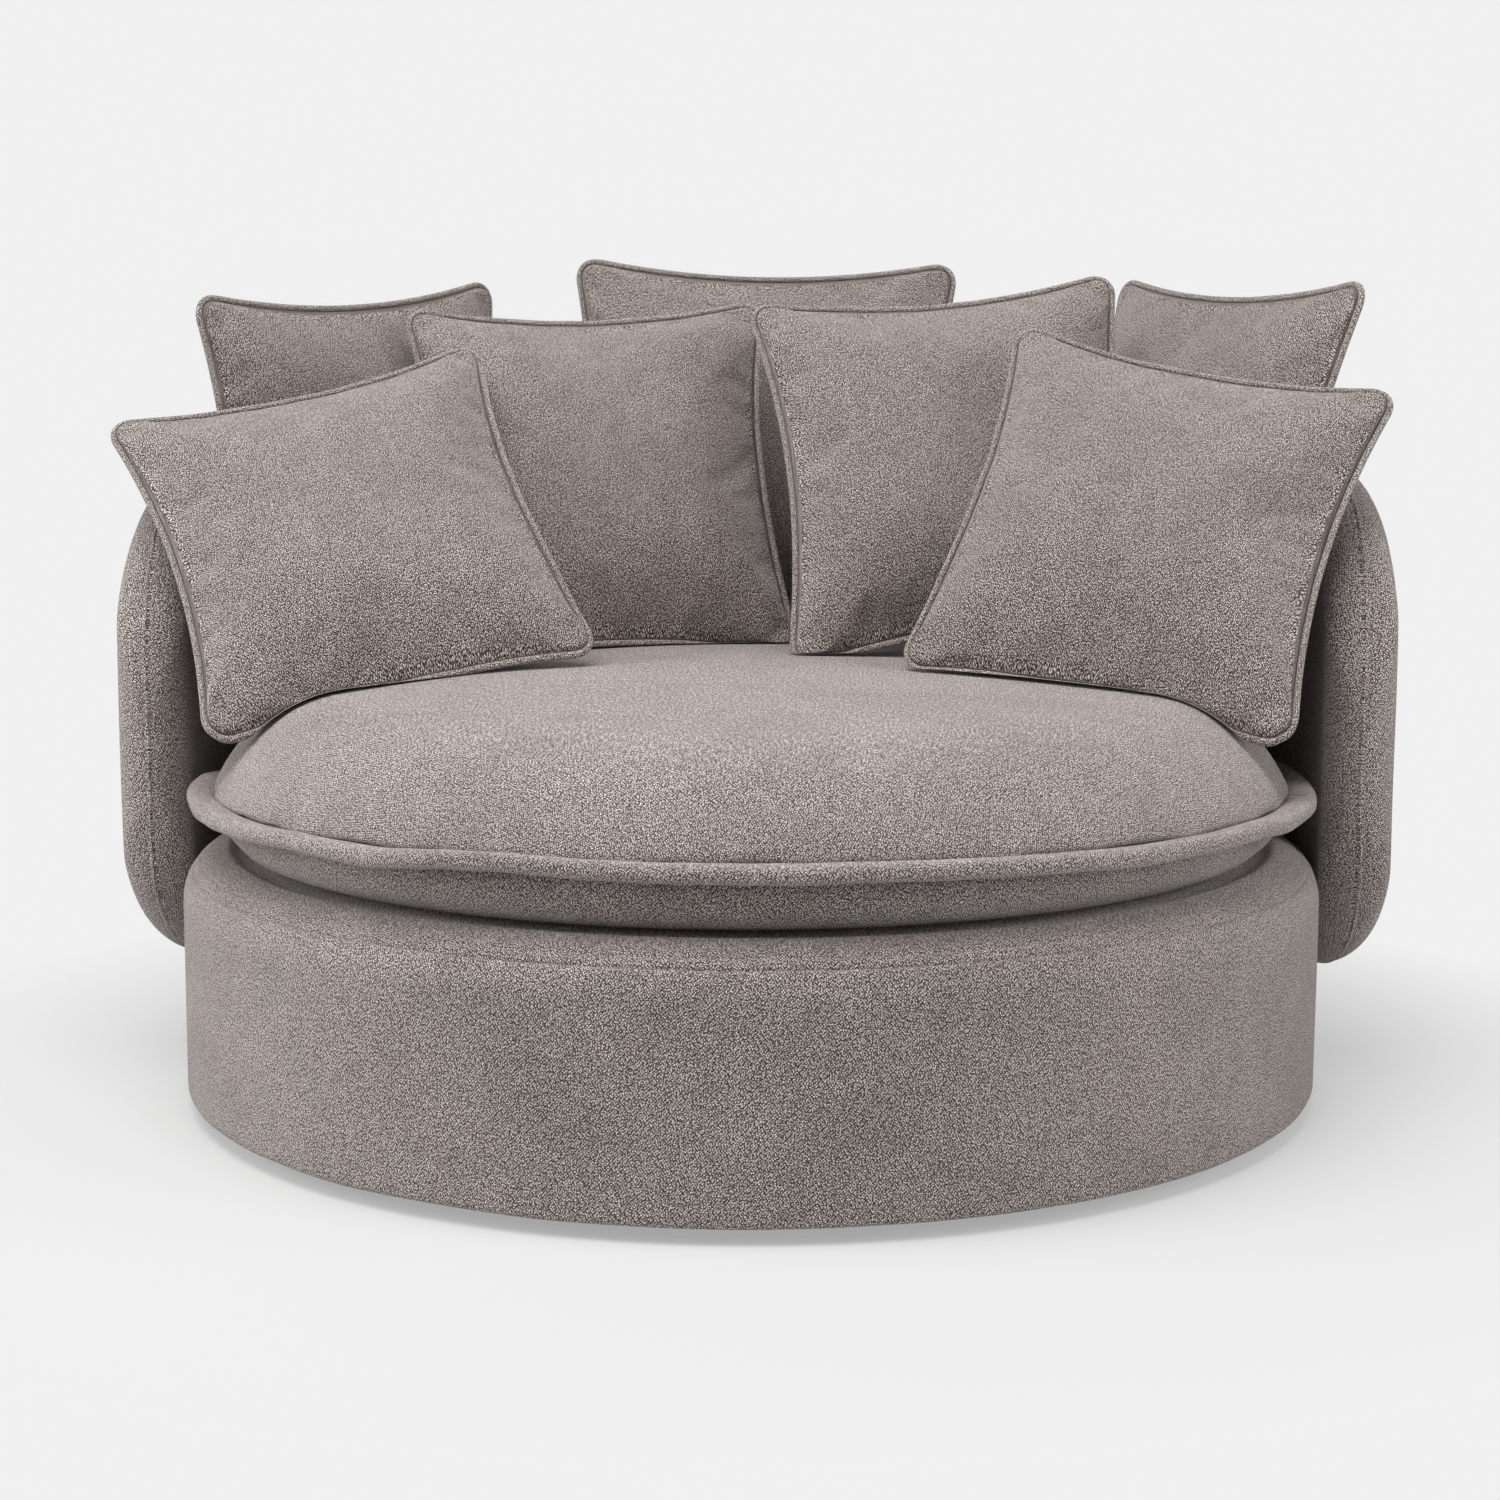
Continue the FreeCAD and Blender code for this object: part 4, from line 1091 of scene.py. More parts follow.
@dataclass
class WrapBack:
    """Padded back that wraps round the drum, with rounded front ends and one
    raised seam all round its rim."""

    inside: float = 0.613
    thickness: float = 0.078
    top: float = 0.680
    bottom: float = 0.100
    top_corner: float = 0.270
    bottom_corner: float = 0.217
    reach: float = 0.050
    seam_turn: float = 84.1
    rim_turns: tuple[float, ...] = (
        180.0, 170.0, 159.0, 147.0, 134.0, 121.0, 110.0, 101.0, 95.0, 91.5, 89.0, 87.3, 85.7,
        82.5, 80.9, 79.2, 76.7, 73.0, 67.0, 57.0, 45.0, 32.0, 20.0, 9.0, 0.0)
    tip_halves: tuple[float, ...] = (
        0.0010, 0.0022, 0.0036, 0.0052, 0.0075, 0.0110, 0.0155, 0.0205, 0.0255, 0.0300, 0.0335,
        0.0362, 0.0380)
    side_steps: int = 10
    wing_steps: int = 16
    middle_steps: int = 60
    ridge: Mound = Mound(0.0011, 0.0, 0.0015)
    ridge_foot: Mound = Mound(-0.00033, 0.0038, 0.0018)
    puff: float = 0.0016
    inner_puff: float = 0.4
    outer_cloth: float = 3.7

    @property
    def middle(self) -> float:
        """Radius of the middle of the back."""
        return self.inside + self.thickness / 2

    @property
    def seam_reach(self) -> float:
        """Radius of the seam along the middle of the back."""
        return self.middle + self.thickness / 2 * math.cos(math.radians(self.seam_turn))

    def levels(self, arc: float) -> Pair:
        """Lower and upper edge at an arc length from a wing's tip.

        Args:
            arc: Arc length along the middle of the back.

        Returns:
            Level of the lower and of the upper edge.
        """
        low_fall = max(self.bottom_corner - arc, 0.0)
        high_fall = max(self.top_corner - arc, 0.0)
        low = self.bottom + self.bottom_corner - math.sqrt(self.bottom_corner ** 2 - low_fall ** 2)
        high = self.top - self.top_corner + math.sqrt(self.top_corner ** 2 - high_fall ** 2)
        return low, high

    def rim_normal(self, arc: float, level: float) -> Pair:
        """Direction in which the rim faces.

        Args:
            arc: Arc length along the middle of the back.
            level: Level of the point on the rim.

        Returns:
            Parts of the direction along the arc and upwards.
        """
        upper, lower = self.top - self.top_corner, self.bottom + self.bottom_corner
        for corner, centre in ((self.top_corner, upper), (self.bottom_corner, lower)):
            beyond = level > upper if centre == upper else level < lower
            if beyond and arc < corner:
                away = (arc - corner, level - centre)
                reach = math.hypot(*away) or 1.0
                return away[0] / reach, away[1] / reach
        if lower <= level <= upper:
            return -1.0, 0.0
        return 0.0, 1.0 if level > upper else -1.0

    def seam_form(self, away: float) -> float:
        """Rise of the cloth at a distance from the middle of the seam."""
        return self.ridge.at(away) + self.ridge_foot.at(abs(away))

    def section(self, arc: float) -> list[tuple[float, float, float, Pair]]:
        """Closed outline of the back at an arc length from a wing's tip.

        Args:
            arc: Arc length along the middle of the back.

        Returns:
            Points (radius, level, shift along the arc, way on the flat cloth past the
            point's own place, along and up).
        """
        full = self.thickness / 2
        half = math.sqrt(max(full ** 2 - (full - arc) ** 2, 1e-8)) if arc < full else full
        low, high = self.levels(arc)
        seam_at = self.middle + half * math.cos(math.radians(self.seam_turn))
        turns = sorted((*self.rim_turns, self.seam_turn), reverse=True)
        upper = [math.radians(turn) for turn in turns]
        lower = [math.radians(-turn) for turn in reversed(turns)]
        straight = range(1, self.side_steps)
        outline = [(half * math.cos(angle), high - half + half * math.sin(angle))
                   for angle in upper]
        outline += [(half, high - half + (low - high + 2 * half) * index / self.side_steps)
                    for index in straight]
        outline += [(half * math.cos(angle), low + half + half * math.sin(angle))
                    for angle in lower]
        outline += [(-half, low + half + (high - low - 2 * half) * index / self.side_steps)
                    for index in straight]
        points = []
        for across, level in outline:
            radius = self.middle + across
            rise = self.seam_form(radius - seam_at)
            along, up = self.rim_normal(arc, level)
            turned_over = math.acos(min(1.0, abs(across) / full))
            extra = full * (turned_over - math.sin(turned_over))
            points.append((radius, level + rise * up, rise * along, (extra * along, extra * up)))
        return points

    def stations(self) -> list[Pair]:
        """Angle and arc length from the nearer tip of every section.

        Returns:
            Pairs of angle about the axis and arc length.
        """
        full = self.thickness / 2
        tip = -self.reach / self.middle
        arcs = [full - math.sqrt(full ** 2 - half ** 2) for half in self.tip_halves]
        corner = max(self.top_corner, self.bottom_corner)
        first = math.acos(1.0 - full / corner)
        for index in range(self.wing_steps + 1):
            turn = first + (math.pi / 2 - first) * index / self.wing_steps
            arcs.append(corner * (1.0 - math.cos(turn)))
        wing = [(tip + arc / self.middle, arc) for arc in arcs]
        last = wing[-1][0]
        span = math.pi - 2 * last
        centre = [(last + span * index / self.middle_steps, corner)
                  for index in range(1, self.middle_steps)]
        return wing + centre + [(math.pi - angle, arc) for angle, arc in reversed(wing)]

    def build(self, palette: Palette) -> list[Piece]:
        """Make the back's cover.

        Args:
            palette: Materials.

        Returns:
            The pieces made.
        """
        mesh = bmesh.new()
        rings, cloth = [], []
        for angle, arc in self.stations():
            outline = self.section(arc)
            ring = bmesh.ops.create_circle(mesh, cap_ends=False, segments=len(outline),
                                           radius=0.1)["verts"]
            side = 1.0 if angle < math.pi / 2 else -1.0
            for vertex, (radius, level, shift, _) in zip(ring, outline):
                puff = self.puff * noise.noise(Vector((angle * 4.0, level * 6.0, radius * 9.0)))
                reach = radius + (puff if radius > self.middle else -abs(puff) * self.inner_puff)
                turn = angle + side * shift / self.middle
                vertex.co = (reach * math.cos(turn), reach * math.sin(turn), level)
            rings.append(ring)
            cloth.append([(angle * self.middle + side * way[0], level + way[1])
                          for _, level, _, way in outline])
        loops = bridge_rings(mesh, rings, False)
        for ring in (loops[0], loops[-1]):
            bmesh.ops.holes_fill(mesh, edges=ring, sides=0)
        known = by_vertex(mesh, rings, cloth)
        layer = mesh.loops.layers.uv.verify()
        for face in mesh.faces:
            middle = face.calc_center_median()
            cut = self.outer_cloth if math.hypot(middle.x, middle.y) > self.seam_reach else 0.0
            lay_cloth(face, layer, [(known[vertex.index][0] + cut, known[vertex.index][1])
                                    for vertex in face.verts])
        cover = publish("back_cover", mesh)
        subdivide(cover)
        palette.dress(cover, Finish.CHENILLE)
        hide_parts("back_inner_cover", "back_outer_cover", "back_inner_foam",
                    "back_outer_foam")
        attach(cover, "chair")
        return [cover]


# ---------------------------------------------------------------- seat cushion


@dataclass
class SeatCushion:
    """Round crowned cushion with a thick rolled flange round its seam."""

    crown: float = 0.462
    bottom: float = 0.2723
    seam_radius: float = 0.577
    crown_radius: float = 0.440
    crown_drop: float = 0.020
    crown_steps: int = 15
    edge_steps: int = 16
    lower_edge: float = 0.040
    lower_steps: int = 12
    bottom_rings: tuple[float, ...] = (0.45, 0.30, 0.15, 0.0)
    side_inset: float = 0.009
    side_sag: float = 0.012
    tuck: float = 0.014
    under_inset: float = 0.003
    edge_from: float = 0.49
    edge_width: float = 0.087
    dent: float = 0.0040
    dent_scale: float = 4.5
    press: float = 0.0018
    pucker: Wave = Wave(0.0030, 64.0, 8.0)
    edge_wave: Wave = Wave(0.0016, 90.0, 5.0)
    side_wave: Wave = Wave(0.0024, 30.0, 2.5)
    steps: int = 240
    flange_level: float = 0.335
    flange_half: float = 0.0095
    flange_reach: float = 0.024
    flange_root: float = 0.010
    flange_seat: float = 0.7
    flange_girth: float = 0.090
    flange_fullness: float = 0.80
    flange_thickening: Pair = (0.72, 0.42)
    flange_looseness: Pair = (0.45, 0.55)
    flange_lift: Wave = Wave(0.0068, 30.0, 11.0)
    flange_fine_lift: Wave = Wave(0.0012, 110.0, 14.0)
    flange_push: Wave = Wave(0.0034, 34.0, 17.0)
    flange_side_push: float = 0.003
    flange_tilt: float = 0.10
    flange_tilt_wave: Wave = Wave(0.20, 22.0, 27.0)
    flange_sides: int = 24
    flange_steps: int = 400

    def crown_profile(self) -> list[Pair]:
        """Top of the cushion from its middle out to the flange.

        Returns:
            Points (radius, level).
        """
        arc = (self.crown_radius ** 2 + self.crown_drop ** 2) / (2 * self.crown_drop)
        slope = math.asin(self.crown_radius / arc)
        centre = self.crown - arc
        points = [(0.0, self.crown)]
        for index in range(1, self.crown_steps + 1):
            radius = self.crown_radius * index / self.crown_steps
            points.append((radius, centre + math.sqrt(arc ** 2 - radius ** 2)))
        run = self.seam_radius - self.crown_radius
        root = self.flange_level + self.flange_seat * self.flange_half
        fall = self.crown - self.crown_drop - root
        edge = math.hypot(run, fall) / (2 * math.sin(math.atan(fall / run) - slope))
        middle = (self.crown_radius - edge * math.sin(slope),
                  self.crown - self.crown_drop - edge * math.cos(slope))
        last = math.degrees(math.asin((root - middle[1]) / edge))
        return points + arc_points(middle, edge, 90.0 - math.degrees(slope), last,
                                   self.edge_steps)[1:]

    def build(self, palette: Palette) -> list[Piece]:
        """Make the cushion's cover and its flange.

        Args:
            palette: Materials.

        Returns:
            The pieces made.
        """
        top = self.crown_profile()
        edge = self.seam_radius - self.side_inset
        under = [(self.seam_radius - self.tuck, self.flange_level),
                 (edge - self.under_inset, self.flange_level - self.flange_half)]
        under += arc_points((edge - self.lower_edge, self.bottom + self.lower_edge),
                            self.lower_edge, 8.0, -90.0, self.lower_steps)
        strip = (len(top), len(top) + len(under) - 2)
        under += [(radius, self.bottom) for radius in self.bottom_rings]
        cover = turned("seat_cushion_cover", top + under, self.steps, strip, self.seam_radius)
        for vertex in cover.data.vertices:
            self.settle(vertex)
        subdivide(cover)
        palette.dress(cover, Finish.CHENILLE)
        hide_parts("cushion_top_cover", "cushion_bottom_cover", "cushion_foam")
        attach(cover, "seat_cushion")
        flange = self.build_flange()
        subdivide(flange)
        palette.dress(flange, Finish.CHENILLE)
        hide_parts("cushion_welt")
        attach(flange, "seat_cushion")
        return [cover, flange]

    def sag_at(self, angle: float) -> float:
        """How far the seam hangs at an angle, most at the chair's two sides."""
        return self.side_sag * math.sin(angle) ** 2

    def settle(self, vertex: bpy.types.MeshVertex) -> None:
        """Move one vertex of the cover as soft foam and loose cloth would lie.

        Args:
            vertex: Vertex of the finished cover.
        """
        place = vertex.co
        radius = math.hypot(place.x, place.y)
        angle = turn_of(place)
        if place.z > self.flange_level + 0.002:
            dent = self.dent * noise.noise(Vector((place.x * self.dent_scale,
                                                   place.y * self.dent_scale, 0.7)))
            edge = min(1.0, max(0.0, (radius - self.edge_from) / self.edge_width))
            pucker = self.pucker.at(angle) * edge ** 2
            place.z += dent * (1.0 - edge) - self.press + pucker - self.sag_at(angle) * edge
            push_out(place, 1.0 + self.edge_wave.at(angle) * edge / max(radius, 0.1))
        elif place.z > self.bottom + 0.004 and radius > 0.4:
            push_out(place, 1.0 + self.side_wave.at(angle, place.z * 8.0) / radius)

    def build_flange(self) -> Piece:
        """Make the rolled flange with its waves.

        Returns:
            The flange.
        """
        mesh = bmesh.new()
        half_reach = (self.flange_reach + self.flange_root) / 2
        thin, thicker = self.flange_thickening
        rings = []
        for step in range(self.flange_steps):
            angle = FULL_TURN * step / self.flange_steps
            least, more = self.flange_looseness
            loose = least + more * abs(math.sin(angle)) ** 1.5
            lift = (self.flange_lift.at(angle) + self.flange_fine_lift.at(angle)) * loose
            push = self.flange_push.at(angle) + self.flange_side_push * math.sin(angle) ** 2
            tilt = self.flange_tilt + self.flange_tilt_wave.at(angle) * loose
            ring = bmesh.ops.create_circle(mesh, cap_ends=False, segments=self.flange_sides,
                                           radius=0.1)["verts"]
            for number, vertex in enumerate(ring):
                turn = FULL_TURN * number / self.flange_sides
                across, up = (math.copysign(abs(part) ** self.flange_fullness, part)
                              for part in (math.cos(turn), math.sin(turn)))
                out = (1.0 + across) / 2
                radius = (self.seam_radius - self.flange_root + half_reach * (1.0 + across)
                          + push * out)
                level = (self.flange_level - self.sag_at(angle)
                         + self.flange_half * up * (thin + thicker * out)
                         + lift * (0.25 + 0.75 * out) + tilt * half_reach * (out - 0.3))
                vertex.co = (radius * math.sin(angle), -radius * math.cos(angle), level)
            rings.append(ring)
        lengths = [FULL_TURN * self.seam_radius * step / self.flange_steps
                   for step in range(self.flange_steps + 1)]
        return closed_roll("seat_flange", mesh, rings, lengths, self.flange_girth)


# ---------------------------------------------------------------- scatter cushions


@dataclass
class ScatterCushion:
    """Square piped cushion, filled with fibre and inflated as cloth."""

    name: str
    family: Family
    centre: tuple[float, float, float]
    turn: float
    lean: float
    roll: float
    seed: float
    cells: int = 60
    crowd: float = 0.45
    rim_half: float = 0.0015
    piping: float = 0.0036
    piping_sides: int = 10
    case_inset: float = 0.0034
    corner: float = 0.027
    draw: float = 0.024
    growth: float = 0.022
    slack: float = 0.88
    drift: float = 0.10
    fullness: tuple[Pair, Pair] = ((0.80, 0.34), (0.20, 0.85))
    seam_wave: Wave = Wave(0.0016, 26.0, 0.0)
    fill_share: float = 0.995
    sink: float = 0.022
    soft_reach: float = 0.15
    least_gap: float = 0.001
    cloth: dict[str, float] = field(default_factory=lambda: {
        "quality": 6, "mass": 0.3, "air_damping": 3.0, "tension_stiffness": 20.0,
        "compression_stiffness": 20.0, "shear_stiffness": 8.0, "bending_stiffness": 0.8,
        "use_pressure": True, "uniform_pressure_force": 4.5})
    frames: int = 20

    @property
    def side(self) -> float:
        """Corner to corner width."""
        return self.family.value[0]

    @property
    def loft(self) -> float:
        """Full thickness."""
        return self.family.value[1]

    @property
    def half(self) -> float:
        """Half width of the case at its corners."""
        return self.side / 2 - self.case_inset

    def placement(self) -> Matrix:
        """Where the cushion lies in the chair.

        Returns:
            Matrix from the cushion's own axes to the chair's.
        """
        place = Matrix.Translation(self.centre)
        for angle, axis in ((self.turn, "Z"), (self.lean, "X"), (self.roll, "Y")):
            place = place @ Matrix.Rotation(math.radians(angle), 4, axis)
        return place

    def plain_case(self) -> bmesh.types.BMesh:
        """Two squares of cloth joined by a narrow rim and bulged a little.

        Returns:
            Closed case, thinner than the filled one, with its sides drawn in.
        """
        mesh = bmesh.new()
        rims = []
        for level in (-self.rim_half, self.rim_half):
            sheet = bmesh.ops.create_grid(mesh, x_segments=self.cells, y_segments=self.cells,
                                          size=1.0)["verts"]
            for vertex in sheet:
                flat = [(value + self.crowd / math.pi * math.sin(math.pi * value)) * self.half
                        for value in vertex.co.xy]
                across, up = round_corner(*flat, self.half, self.corner)
                vertex.co = (across, level, up)
            rims += [edge for edge in mesh.edges if edge.is_boundary
                     and abs(edge.verts[0].co.y - level) < self.rim_half / 10]
        bmesh.ops.bridge_loops(mesh, edges=rims)
        bmesh.ops.recalc_face_normals(mesh, faces=mesh.faces)
        layer = mesh.loops.layers.uv.verify()
        for face in mesh.faces:
            lay_cloth(face, layer, [(vertex.co.x + self.seed,
                                     vertex.co.z + (0.5 if vertex.co.y > 0.0 else 0.0))
                                    for vertex in face.verts])
        for vertex in mesh.verts:
            self.bulge(vertex)
        return mesh

    def bulge(self, vertex: bmesh.types.BMVert) -> None:
        """Move one vertex of the flat case out to the plain form.

        Args:
            vertex: Vertex on one of the two squares of cloth.
        """
        across, up = vertex.co.x / self.half, vertex.co.z / self.half
        room = max(0.0, (1 - across ** 2) * (1 - up ** 2))
        swell = sum(share * room ** power for share, power in self.fullness)
        drift = 1.0 + self.drift * noise.noise(Vector((across * 1.6, up * 1.6, self.seed * 7.3)))
        full = self.slack * drift * self.loft / 2
        vertex.co.y = math.copysign(self.rim_half + (full - self.rim_half) * swell, vertex.co.y)
        share = self.draw / self.half
        vertex.co.x *= 1 - share * (1 - up ** 2)
        vertex.co.z *= 1 - share * (1 - across ** 2)

    def inflate(self, holder: Piece, rim: Sequence[tuple[int, int]]) -> None:
        """Fill the case by cloth simulation and keep the result in its mesh.

        Args:
            holder: Object with the plain case.
            rim: Pairs of vertices along the seam, which the piping holds.
        """
        held = holder.vertex_groups.new(name="seam")
        held.add([number for pair in rim for number in pair], 1.0, "REPLACE")
        cloth = holder.modifiers.new("cloth", "CLOTH")
        for name, value in self.cloth.items():
            setattr(cloth.settings, name, value)
        cloth.settings.shrink_min = -self.growth
        cloth.settings.vertex_group_mass = held.name
        cloth.settings.effector_weights.gravity = 0.0
        cloth.collision_settings.use_collision = False
        cloth.point_cache.frame_start = 1
        cloth.point_cache.frame_end = self.frames
        scene = bpy.context.scene
        for step in range(1, self.frames + 1):
            scene.frame_set(step)
        shaped = bpy.data.meshes.new_from_object(
            holder.evaluated_get(bpy.context.evaluated_depsgraph_get()))
        holder.modifiers.clear()
        holder.vertex_groups.clear()
        old = holder.data
        holder.data = shaped
        bpy.data.meshes.remove(old)
        scene.frame_set(1)

    def build(self, palette: Palette) -> list[Piece]:
        """Make the case and its piping.

        Args:
            palette: Materials.

        Returns:
            The pieces made.
        """
        case = publish(f"{self.name}_cover", self.plain_case())
        rim = self.rim_pairs(case)
        self.inflate(case, rim)
        self.fit(case)
        path = self.seam_path(case, rim)
        cord = swept(f"{self.name}_cord", path, self.piping, self.piping_sides,
                     Vector((0.0, 1.0, 0.0)))
        place = self.placement()
        for piece, finish in ((case, Finish.CUSHION), (cord, Finish.PIPING)):
            piece.data.transform(place)
            self.settle(piece)
            palette.dress(piece, finish)
            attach(piece, f"{self.name}_cushion")
            piece.data.polygons.foreach_set("use_smooth", [True] * len(piece.data.polygons))
            subdivide(piece)
        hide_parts(f"{self.name}_case", f"{self.name}_filling")
        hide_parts(f"{self.name}_piping")
        return [case, cord]

    def settle(self, piece: Piece) -> None:
        """Let the part of a small cushion near the seat sink towards it.

        Args:
            piece: Case or piping, in the chair's place.
        """
        if self.family is Family.LARGE:
            return
        crown = SeatCushion().crown_profile()
        for vertex in piece.data.vertices:
            reach = math.hypot(vertex.co.x, vertex.co.y)
            ground = crown[-1][1]
            for (near, high), (far, low) in zip(crown, crown[1:]):
                if near <= reach <= far:
                    ground = high + (low - high) * (reach - near) / (far - near)
                    break
            gap = vertex.co.z - ground
            share = min(1.0, max(0.0, gap / self.soft_reach))
            weight = 1.0 - share * share * (3.0 - 2.0 * share)
            vertex.co.z -= min(self.sink * weight, max(0.0, gap - self.least_gap))

    def rim_pairs(self, case: Piece) -> list[tuple[int, int]]:
        """Vertices on both sides of the seam, in order round the cushion.

        Args:
            case: Flat case.

        Returns:
            Pairs of vertex numbers, front and back.
        """
        pairs = []
        for edge in case.data.edges:
            first, second = (case.data.vertices[index] for index in edge.vertices)
            if abs(first.co.y - second.co.y) > 0.0025 and self.on_rim(first, second):
                front, rear = (first, second) if first.co.y < second.co.y else (second, first)
                pairs.append((math.atan2(front.co.z, front.co.x), front.index, rear.index))
        return [(front, rear) for _, front, rear in sorted(pairs)]

    def on_rim(self, first: bpy.types.MeshVertex, second: bpy.types.MeshVertex) -> bool:
        """Whether two vertices lie across the seam from each other."""
        level = first.co.x == second.co.x and first.co.z == second.co.z
        return level and abs(first.co.y + second.co.y) < 1e-6

    def fit(self, case: Piece) -> None:
        """Scale the filled case to the cushion's thickness, a few high spots apart.

        Args:
            case: Filled case.
        """
        vertices = case.data.vertices
        depths = sorted(abs(vertex.co.y) for vertex in vertices)
        thick = depths[int(len(depths) * self.fill_share)]
        swell = self.loft / 2 / thick
        for vertex in vertices:
            vertex.co.y *= swell
        LOG.info("%s: half thickness %.4f before the fit", self.name, thick)

    def seam_path(self, case: Piece, rim: Sequence[tuple[int, int]]) -> list[Vector]:
        """Middle line of the piping, with the small waves of a sewn edge.

        Args:
            case: Filled case, whose seam moves with the waves.
            rim: Pairs of vertices along the seam.

        Returns:
            Points round the seam.
        """
        vertices = case.data.vertices
        path = []
        for front, rear in rim:
            middle = (vertices[front].co + vertices[rear].co) / 2
            angle = math.atan2(middle.z, middle.x)
            wave = self.seam_wave.at(angle, self.seed * 3.1)
            for number in (front, rear):
                vertices[number].co.y += wave
            path.append(Vector((middle.x, wave, middle.z)))
        count = len(path)
        moved = []
        for index, middle in enumerate(path):
            along = (path[(index + 1) % count] - path[index - 1]).normalized()
            outwards = along.cross(Vector((0.0, 1.0, 0.0)))
            if outwards.dot(middle) < 0.0:
                outwards.negate()
            moved.append(middle + outwards * self.case_inset)
        return moved


def round_corner(across: float, up: float, half: float, radius: float) -> Pair:
    """Move a point of a square so that the square's corners become round.

    Args:
        across: First coordinate in the square.
        up: Second coordinate in the square.
        half: Half of the square's side.
        radius: Radius of the corners.

    Returns:
        The moved coordinates.
    """
    inner = half - radius
    over_x, over_z = abs(across) - inner, abs(up) - inner
    if over_x <= 0.0 or over_z <= 0.0:
        return across, up
    scale = max(over_x, over_z) / math.hypot(over_x, over_z)
    return (math.copysign(inner + over_x * scale, across),
            math.copysign(inner + over_z * scale, up))


SCATTER = [ScatterCushion(*values, float(number + 1)) for number, values in enumerate((
    ("back_centre", Family.LARGE, (-0.00835, 0.47833, 0.66739), 3.4, -6.6, 0.9),
    ("back_left", Family.LARGE, (-0.46355, 0.27523, 0.62932), 54.4, -3.9, -3.0),
    ("back_right", Family.LARGE, (0.48954, 0.24089, 0.64391), -60.7, -15.3, 1.5),
    ("mid_left", Family.SMALL, (-0.18669, 0.23470, 0.65206), 13.4, -25.7, -1.4),
    ("mid_right", Family.SMALL, (0.22373, 0.17167, 0.67222), 5.6, -27.0, -5.3),
    ("front_left", Family.SMALL, (-0.43480, -0.00911, 0.60146), 10.6, -41.8, -15.9),
    ("front_right", Family.SMALL, (0.42471, -0.01557, 0.61312), -11.3, -35.4, 12.0)))]


# ---------------------------------------------------------------- frame pieces


@dataclass
class FramePieces:
    """Finishes of the pieces inside and under the drum."""

    finishes: dict[Finish, tuple[str, ...]] = field(default_factory=lambda: {
        Finish.PLYWOOD: ("plinth_board", "bottom_board", "seat_ring", "drum_shell", "back_panel"),
        Finish.TIMBER: ("drum_uprights", "back_spacers"),
        Finish.NYLON: ("centre_glide", "rim_glides", "pivot_bush", "ball_cage"),
        Finish.BLACK_STEEL: ("swivel_lower_plate", "swivel_upper_plate"),
        Finish.STEEL: ("lower_plate_screws", "upper_plate_screws", "pivot_bolt", "pivot_washer",
                       "pivot_nut", "bearing_balls", "back_bolts"),
        Finish.WEBBING: ("webbing_lengthwise", "webbing_crosswise"),
        Finish.ZIP: ("cushion_zip",)})

    def dress(self, palette: Palette) -> None:
        """Give every frame piece its material.

        Args:
            palette: Materials.
        """
        for finish, names in self.finishes.items():
            for name in names:
                palette.dress(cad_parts[name], finish)


# ---------------------------------------------------------------- studio


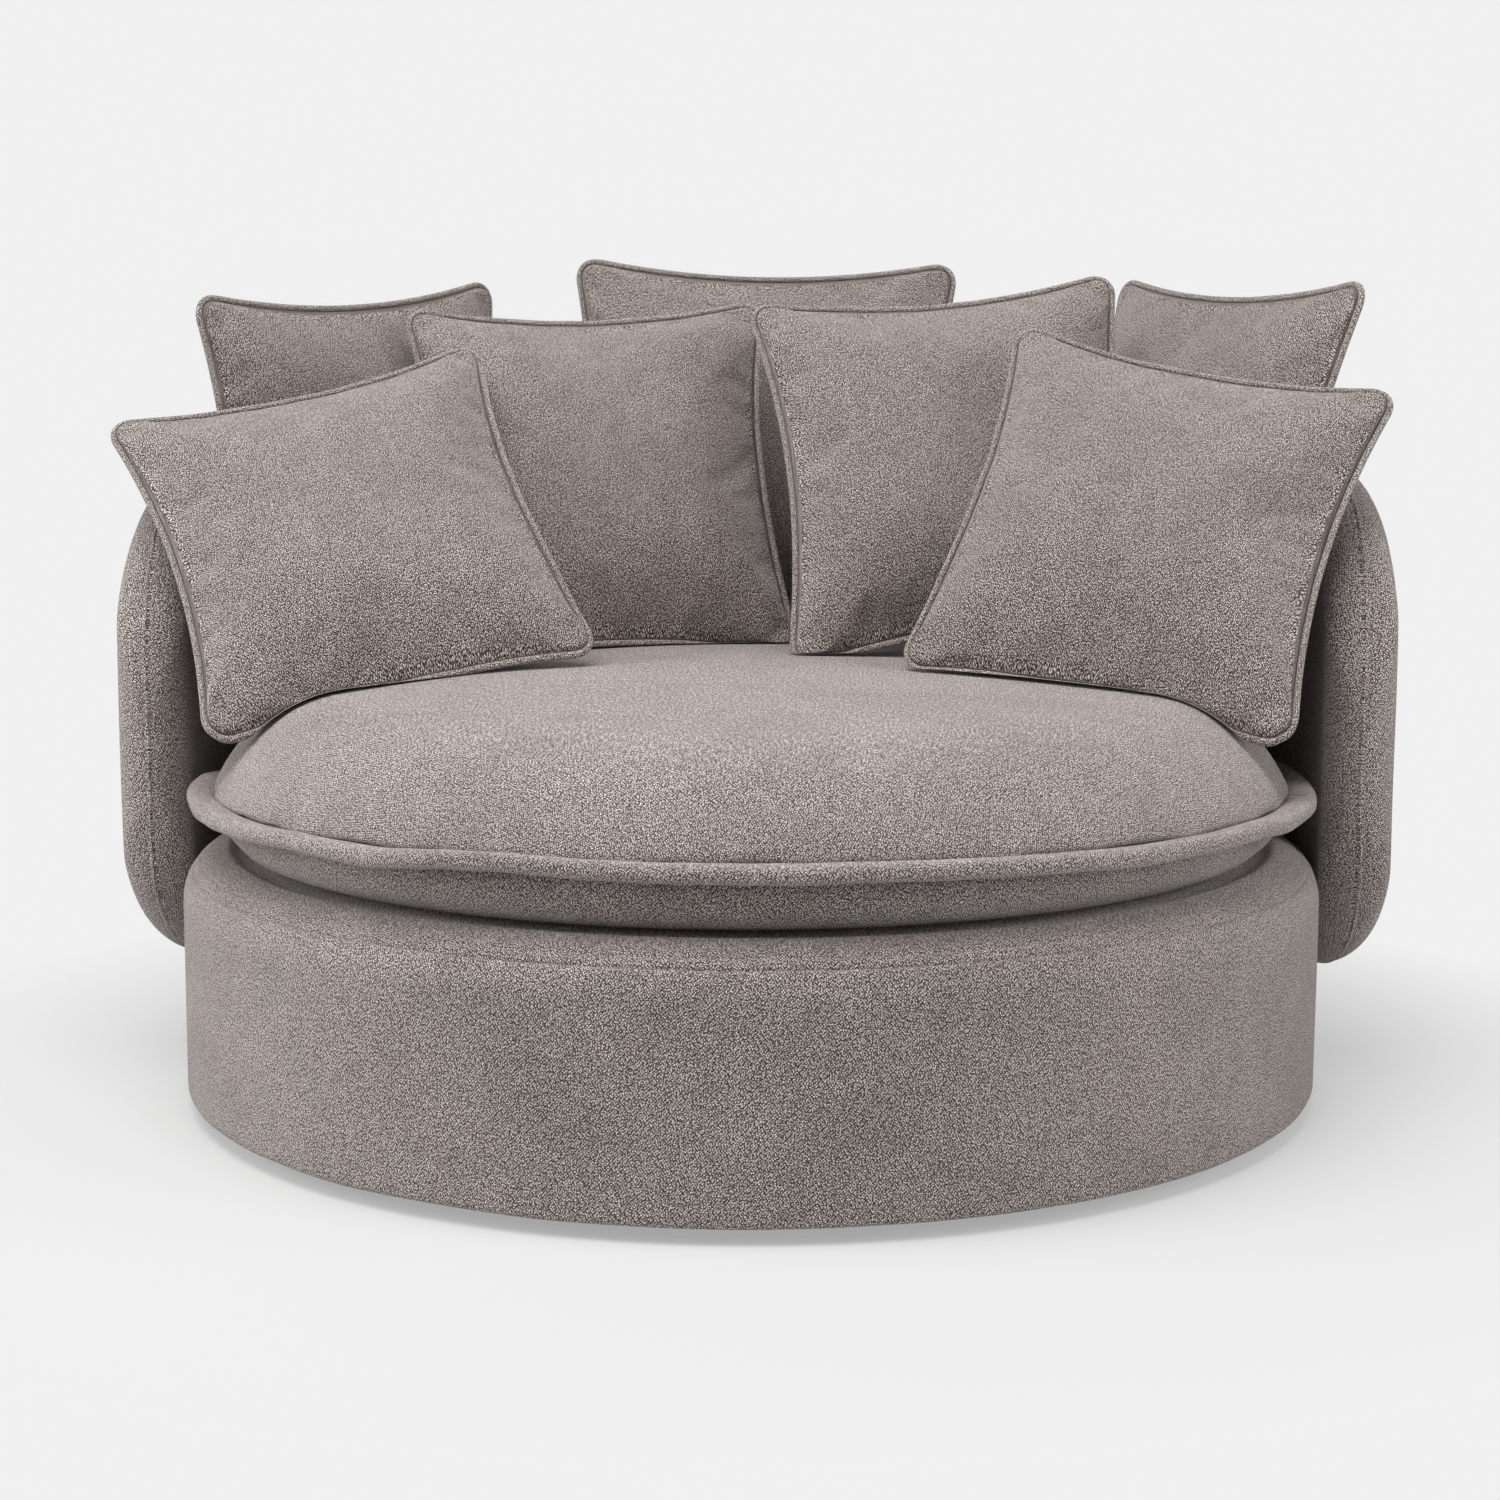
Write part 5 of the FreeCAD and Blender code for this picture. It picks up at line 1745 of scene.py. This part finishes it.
@dataclass
class Studio:
    """Pale floor, soft lamps and the camera."""

    camera_place: tuple[float, float, float] = (0.153, -2.996, 0.788)
    camera_turn: float = 2.9
    camera_pitch: float = 8.1
    focal_pixels: float = 2783.0
    shift_pixels: float = -2.0
    picture: float = 1500.0
    sensor: float = 36.0
    pale: Colour = (0.871, 0.871, 0.871, 1.0)
    floor_grey: Colour = (0.58, 0.58, 0.58, 1.0)
    floor_half: float = 14.0
    fade_from: float = 0.60
    fade_to: float = 1.10
    fade_least: float = 0.42
    world_light: float = 0.28
    aim: tuple[float, float, float] = (0.0, 0.0, 0.4)
    lamps: tuple[tuple[str, tuple[float, float, float], float, float], ...] = (
        ("overhead", (-0.4, -1.05, 2.95), 2.5, 91.0),
        ("left_side", (-3.0, -1.0, 1.4), 2.0, 54.0),
        ("right_side", (3.0, -1.0, 1.4), 2.0, 46.0),
        ("front_fill", (0.3, -4.0, 1.0), 2.6, 4.0))

    def build(self) -> None:
        """Set up the floor, the world, the lamps and the camera."""
        self.build_floor()
        self.build_world()
        self.build_lamps()
        self.build_camera()
        bpy.context.scene.view_settings.view_transform = "Standard"

    def build_floor(self) -> None:
        """Floor that keeps the chair's shadow and fades into the background."""
        mesh = bmesh.new()
        bmesh.ops.create_grid(mesh, x_segments=8, y_segments=8, size=self.floor_half)
        floor = publish("studio_floor", mesh, False)
        material = bpy.data.materials.new("studio_floor")
        material.use_nodes = True
        sheet = NodeSheet(material.node_tree)
        away = sheet.feed_all(sheet.add("ShaderNodeVectorMath", {"operation": "LENGTH"}),
                              sheet.own_place())
        fade = sheet.spread(away.outputs["Value"], self.fade_from, self.fade_to,
                            self.fade_least, 1.0)
        rays = sheet.add("ShaderNodeLightPath")
        mixed = sheet.feed_all(
            sheet.add("ShaderNodeMixShader"), sheet.times(fade, rays.outputs["Is Camera Ray"]),
            sheet.add("ShaderNodeBsdfDiffuse", color=self.floor_grey).outputs[0],
            sheet.add("ShaderNodeEmission", color=self.pale).outputs[0])
        sheet.add("ShaderNodeOutputMaterial", surface=mixed.outputs[0])
        floor.data.materials.append(material)

    def build_world(self) -> None:
        """World that lights softly and shows a pale background."""
        world = bpy.data.worlds.new("studio_world")
        world.use_nodes = True
        bpy.context.scene.world = world
        sheet = NodeSheet(world.node_tree)
        rays = sheet.add("ShaderNodeLightPath")
        seen = sheet.math("MAXIMUM", rays.outputs["Is Camera Ray"],
                          sheet.math("MAXIMUM", rays.outputs["Is Glossy Ray"],
                                     rays.outputs["Is Transmission Ray"]))
        light = sheet.add("ShaderNodeBackground", color=(1.0, 1.0, 1.0, 1.0),
                          strength=self.world_light)
        shown = sheet.add("ShaderNodeBackground", color=self.pale)
        mixed = sheet.feed_all(sheet.add("ShaderNodeMixShader"), seen, light.outputs[0],
                               shown.outputs[0])
        sheet.add("ShaderNodeOutputWorld", surface=mixed.outputs[0])

    def build_lamps(self) -> None:
        """Large soft lamps above, at both sides and low in front."""
        for name, place, size, power in self.lamps:
            lamp = bpy.data.lights.new(name, "AREA")
            lamp.shape = "DISK"
            lamp.size = size
            lamp.energy = power
            holder = bpy.data.objects.new(name, lamp)
            holder.location = place
            way = Vector(self.aim) - Vector(place)
            holder.rotation_euler = way.to_track_quat("-Z", "Y").to_euler()
            bpy.context.scene.collection.objects.link(holder)

    def build_camera(self) -> None:
        """Camera at the photograph's viewing angle."""
        data = bpy.data.cameras.new("camera")
        data.sensor_width = self.sensor
        data.lens = self.focal_pixels / self.picture * self.sensor
        data.shift_x = self.shift_pixels / self.picture
        camera = bpy.data.objects.new("camera", data)
        camera.location = self.camera_place
        camera.rotation_euler = Euler((math.radians(90.0 - self.camera_pitch), 0.0,
                                       math.radians(self.camera_turn)), "XYZ")
        bpy.context.scene.collection.objects.link(camera)
        bpy.context.scene.camera = camera


def main() -> None:
    """Build the chair, dress it and light it."""
    logging.basicConfig(level=logging.INFO, format="%(name)s: %(message)s")
    palette = Palette()
    makers: list[Callable[[Palette], list[Piece]]] = [
        DrumBase().build, DustCloth().build, WrapBack().build, SeatCushion().build]
    makers += [cushion.build for cushion in SCATTER]
    for make in makers:
        for piece in make(palette):
            LOG.info("made %s with %d faces", piece.name, len(piece.data.polygons))
    FramePieces().dress(palette)
    Studio().build()


if __name__ == "__main__":
    main()
